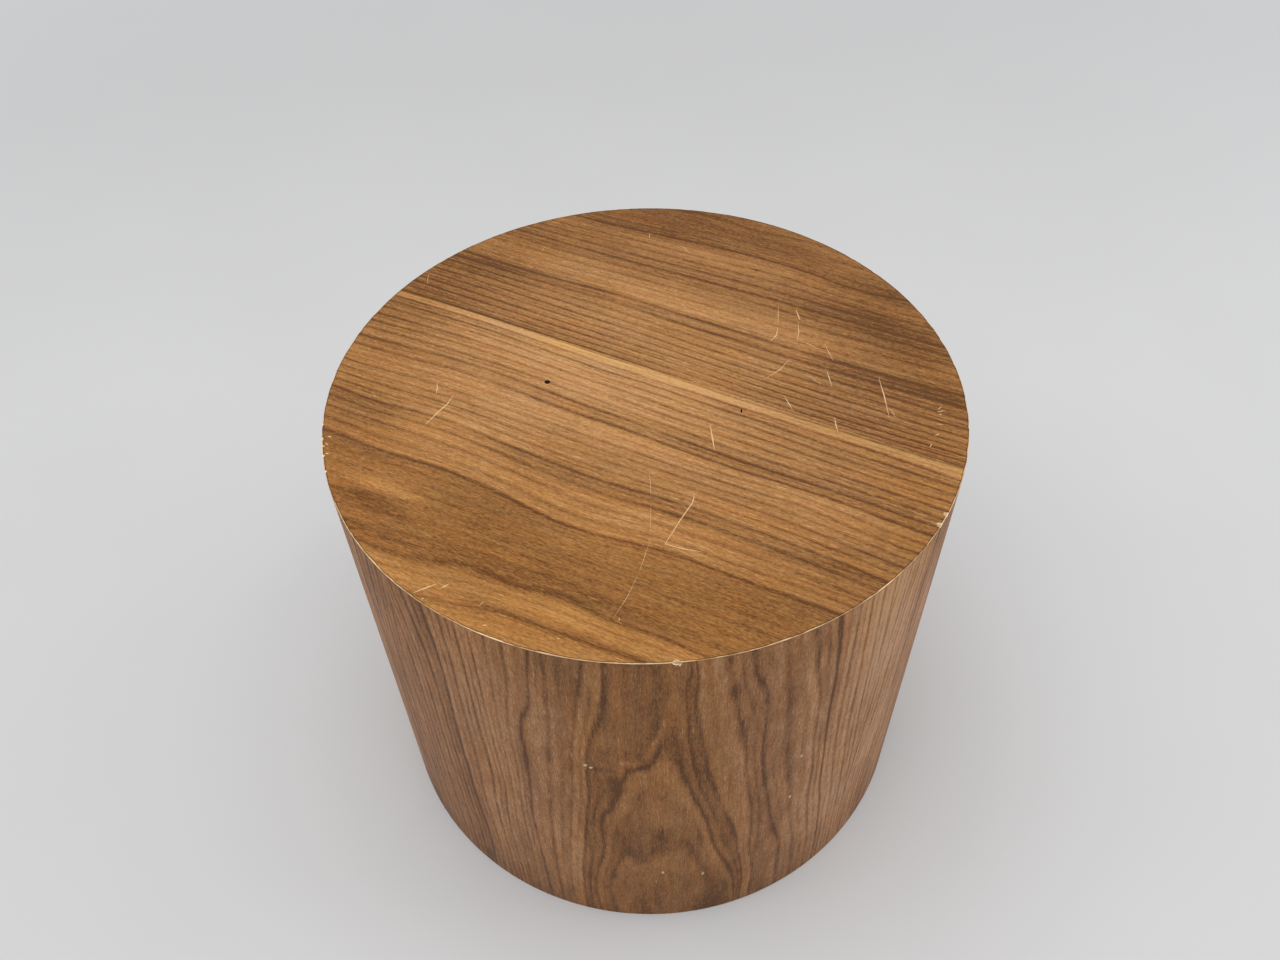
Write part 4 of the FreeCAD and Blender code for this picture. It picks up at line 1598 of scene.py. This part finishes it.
def panel_screw():
    """A pan-headed wood screw on the drum's axis, head down, with a cross recess."""
    sizes = bpy.context.scene.drum_table_sizes
    low = PANEL_SCREW_BOTTOM
    seat = low + sizes.screw_head_height
    screw = cylinder("panel_screw", sizes.screw_head, low, seat, 32)
    edit(screw)
    round_rim(screw, low, sizes.screw_head, SCREW_HEAD_ROUND, 4)
    select_parts(screw, "faces", lambda f: f.normal.z > FACING)
    bpy.ops.mesh.inset(thickness=sizes.screw_head - sizes.screw_shank)
    for run in (sizes.screw_length - SCREW_POINT, SCREW_POINT):
        bpy.ops.mesh.extrude_region_move(TRANSFORM_OT_translate={"value": (0, 0, run)})
    bpy.ops.transform.resize(
        value=(SCREW_POINT_SHARE, SCREW_POINT_SHARE, 1), center_override=(0, 0, seat)
    )
    leave_edit()
    for turn in (math.pi / 4, -math.pi / 4):
        deselect_all()
        bpy.ops.mesh.primitive_cube_add(
            size=1.0, location=(0, 0, low), rotation=(0, 0, turn), scale=RECESS_BLADE
        )
        blade = added("recess_blade")
        apply_place(blade)
        edit(blade)
        select_parts(blade, "faces", lambda f: f.normal.z > FACING)
        bpy.ops.transform.resize(value=(RECESS_TAPER, RECESS_TAPER, 1), center_override=(0, 0, low))
        leave_edit()
        apply_modifier(screw, "BOOLEAN", operation="DIFFERENCE", solver="EXACT", object=blade)
        remove(blade)
    smooth(screw, SCREW_ANGLE)
    return screw


def finish_piece(item, finish, body, node):
    item.data.materials.clear()
    item.data.materials.append(finish)
    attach(item, body)
    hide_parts(node)


class DRUMTABLE_OT_feet(Operator):
    """Make the four levelling feet: fluted pads and threaded stems with their collars"""

    bl_idname = "drum_table.feet"
    bl_label = "Levelling Feet"

    def execute(self, context):
        colours = context.scene.drum_table_colours
        nylon = nylon_finish("nylon_pad", colours.nylon)
        zinc = zinc_finish("zinc_stem", colours.zinc)
        pad, stem = fluted_pad(), threaded_stem()
        for name in FOOT_NAMES:
            low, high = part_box(f"foot_pad_{name}")
            move = ((low.x + high.x) / 2, (low.y + high.y) / 2, 0)
            turn = math.atan2(move[1], move[0])
            for kind, item, finish, slot in (
                ("pad", pad, nylon, "nylon"), ("stem", stem, zinc, "zinc_steel")
            ):
                copy = copied(item, f"foot_{kind}_{name}_made", move, turn)
                finish_piece(copy, finish, f"foot_{name}", f"foot_{kind}_{name}")
        remove(pad)
        remove(stem)
        return {"FINISHED"}


class DRUMTABLE_OT_panel_screws(Operator):
    """Make the pan-headed screws that hold the dust panel"""

    bl_idname = "drum_table.panel_screws"
    bl_label = "Dust Panel Screws"

    def execute(self, context):
        sizes = context.scene.drum_table_sizes
        screw = panel_screw()
        copies = []
        for number in range(sizes.screw_count):
            turn = math.tau * (number + 0.5) / sizes.screw_count
            move = (sizes.screw_circle * math.cos(turn), sizes.screw_circle * math.sin(turn), 0)
            copies.append(copied(screw, "panel_screw", move))
        remove(screw)
        screws = joined(copies, "dust_panel_screws_made")
        zinc = zinc_finish("zinc_screws", context.scene.drum_table_colours.zinc)
        finish_piece(screws, zinc, "drum", "dust_panel_screws")
        return {"FINISHED"}


class DRUMTABLE_OT_veneers(Operator):
    """Lay the top and side leaves, with their scratches, dents and chips"""

    bl_idname = "drum_table.veneers"
    bl_label = "Veneer Leaves"

    def execute(self, context):
        colours = context.scene.drum_table_colours
        bare = bare_wood("bare_wood", colours.bare_wood)
        # Painted shade: the pin hole's near-black inside stands in for the shade in the hole
        dark = bare_wood("pin_hole", colours.hole)
        front = top_veneer(
            "top_veneer_front", TOP_FRONT_LINES, TOP_FRONT_TONES, TOP_FRONT_GOLDEN, colours.sapwood
        )
        back = top_veneer("top_veneer_back", TOP_BACK_LINES, TOP_BACK_TONES, TOP_BACK_GOLDEN)
        side = side_veneer("side_veneer")
        marks = [scratch_cutter(bare), *top_pit_cutters(dark)]
        fresh = bare_wood("fresh_wood", colours.fresh_wood, FRESH_SHADE)
        chips = {leaf: rim_chip_cutters(rows, fresh) for leaf, rows in RIM_CHIPS.items()}
        dents = side_dent_cutters(bare, bare_wood("rubbed_wood", colours.rubbed_wood))
        front_cutters = sum(chips.values(), marks)
        top_leaf("front", front, TOP_FRONT_GROWTH, TOP_FRONT_PATCHES, front_cutters)
        top_leaf("back", back, TOP_BACK_GROWTH, TOP_BACK_PATCHES, marks[:1])
        for number, name in enumerate(SIDE_LEAF_NAMES):
            cutters = chips.get(name, []) + (dents if name == "front" else [])
            side_leaf(number, name, side, cutters)
        for cutter in front_cutters + dents:
            remove(cutter)
        return {"FINISHED"}


class DRUMTABLE_OT_carcase(Operator):
    """Give the core, the cage, the dust panel and the steel inside their own finishes"""

    bl_idname = "drum_table.carcase"
    bl_label = "Carcase Finishes"

    def execute(self, context):
        colours = context.scene.drum_table_colours
        finishes = {
            "top_disc": board_finish("chip_board", colours.board),
            "top_backer": layered_wood("backing_veneer", colours.backing, height_of, BACKING_LAYERS),
            "wrap": layered_wood("bending_plywood", colours.plywood, inside_rim, WRAP_LAYERS),
            "former": layered_wood("plywood", colours.plywood, height_of, FORMER_LAYERS),
            "post": softwood_finish("softwood", colours.softwood),
            "dust_panel": hardboard_finish("hardboard", colours.hardboard),
        }
        zinc = zinc_finish("zinc_steel", colours.zinc)
        for name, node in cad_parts.items():
            if any(word in name for word in REMADE_NODES):
                continue
            finish = next((finishes[kind] for kind in finishes if kind in name), zinc)
            node.data.materials.clear()
            node.data.materials.append(finish)
        return {"FINISHED"}


def area_lamp(name, place, aim, width, height, power):
    data = bpy.data.lights.new(name, "AREA")
    data.shape = "RECTANGLE"
    data.size = width
    data.size_y = height
    data.energy = power
    lamp = bpy.data.objects.new(name, data)
    bpy.context.collection.objects.link(lamp)
    lamp.location = place
    lamp.rotation_mode = "QUATERNION"
    lamp.rotation_quaternion = (Vector(aim) - Vector(place)).to_track_quat("-Z", "Y")


class DRUMTABLE_OT_stage(Operator):
    """Set up the floor, the soft lamps, the background and the camera"""

    bl_idname = "drum_table.stage"
    bl_label = "Studio"

    def execute(self, context):
        self.lay_floor(context)
        self.light(context)
        self.aim_camera(context)
        return {"FINISHED"}

    def lay_floor(self, context):
        sizes = context.scene.drum_table_sizes
        deselect_all()
        bpy.ops.mesh.primitive_plane_add(size=sizes.floor_size, location=(0, 0, 0))
        floor = added("studio_floor")
        material, tree, places = new_finish("studio_floor")
        mist = map_range(tree, pattern(tree, places, "floor mist"), *NOISE_SPAN)
        tint = context.scene.drum_table_colours.floor
        shaded = mix_colour(tree, mist, shade(tint, FLOOR_SHADE), tint)
        surface(tree, shaded, 0.9, specular=0.2)
        self.melt_into_background(tree, places, tint)
        floor.data.materials.append(material)

    def melt_into_background(self, tree, places, tint):
        """Far from the table the floor shows the background's own colour."""
        out = tree.nodes["Material Output"]
        shader = out.inputs["Surface"].links[0].from_socket
        reach = add_node(tree, "ShaderNodeVectorMath", {0: places}, operation="LENGTH")
        share = times(
            tree, map_range(tree, reach.outputs["Value"], *FLOOR_MELT),
            add_node(tree, "ShaderNodeLightPath").outputs["Is Camera Ray"],
        )
        glow = add_node(tree, "ShaderNodeEmission", {"Color": (*tint, 1.0), "Strength": 1.0})
        both = add_node(tree, "ShaderNodeMixShader", {0: share, 1: shader, 2: glow.outputs[0]})
        tree.links.new(both.outputs[0], out.inputs["Surface"])

    def light(self, context):
        world = bpy.data.worlds.new("studio")
        context.scene.world = world
        world.use_nodes = True
        tree = world.node_tree
        tree.nodes.clear()
        rays = add_node(tree, "ShaderNodeLightPath").outputs
        seen = calculate(
            tree, "MAXIMUM", rays["Is Camera Ray"],
            calculate(tree, "MAXIMUM", rays["Is Glossy Ray"], rays["Is Transmission Ray"]),
        )
        tint = (*context.scene.drum_table_colours.floor, 1.0)
        ambient = add_node(
            tree, "ShaderNodeBackground", {"Color": AMBIENT_TINT, "Strength": AMBIENT_STRENGTH}
        )
        shown = add_node(tree, "ShaderNodeBackground", {"Color": tint, "Strength": 1.0})
        both = add_node(
            tree, "ShaderNodeMixShader", {0: seen, 1: ambient.outputs[0], 2: shown.outputs[0]}
        )
        out = add_node(tree, "ShaderNodeOutputWorld")
        tree.links.new(both.outputs[0], out.inputs["Surface"])
        for lamp in LAMPS:
            area_lamp(*lamp)

    def aim_camera(self, context):
        data = bpy.data.cameras.new("camera")
        data.sensor_width = CAMERA_SENSOR
        data.lens = CAMERA_LENS
        data.clip_start, data.clip_end = CAMERA_REACH
        camera = bpy.data.objects.new("camera", data)
        context.collection.objects.link(camera)
        turn = (
            Matrix.Rotation(math.radians(-CAMERA_PAN), 4, "Z")
            @ Matrix.Rotation(math.radians(90.0 - CAMERA_PITCH), 4, "X")
            @ Matrix.Rotation(math.radians(-CAMERA_ROLL), 4, "Z")
        )
        camera.matrix_world = Matrix.Translation(CAMERA_PLACE) @ turn
        context.scene.camera = camera
        context.scene.view_settings.view_transform = "Standard"


class DRUMTABLE_PT_panel(Panel):
    """Lists the table's pieces, sizes and colours"""

    bl_idname = "DRUMTABLE_PT_panel"
    bl_label = "Drum Side Table"
    bl_space_type = "VIEW_3D"
    bl_region_type = "UI"
    bl_category = "Drum Table"

    def draw(self, context):
        for operator in OPERATORS:
            self.layout.operator(operator.bl_idname)
        for group in (context.scene.drum_table_sizes, context.scene.drum_table_colours):
            box = self.layout.box()
            for name in group.__annotations__:
                box.prop(group, name)


OPERATORS = (
    DRUMTABLE_OT_veneers,
    DRUMTABLE_OT_carcase,
    DRUMTABLE_OT_feet,
    DRUMTABLE_OT_panel_screws,
    DRUMTABLE_OT_stage,
)
CLASSES = (DrumTableSizes, DrumTableColours, *OPERATORS, DRUMTABLE_PT_panel)


def register():
    for item in CLASSES:
        bpy.utils.register_class(item)
    bpy.types.Scene.drum_table_sizes = PointerProperty(type=DrumTableSizes)
    bpy.types.Scene.drum_table_colours = PointerProperty(type=DrumTableColours)


def unregister():
    del bpy.types.Scene.drum_table_colours
    del bpy.types.Scene.drum_table_sizes
    for item in reversed(CLASSES):
        bpy.utils.unregister_class(item)


def main():
    register()
    bpy.ops.drum_table.veneers()
    bpy.ops.drum_table.carcase()
    bpy.ops.drum_table.feet()
    bpy.ops.drum_table.panel_screws()
    bpy.ops.drum_table.stage()


if __name__ == "__main__":
    main()
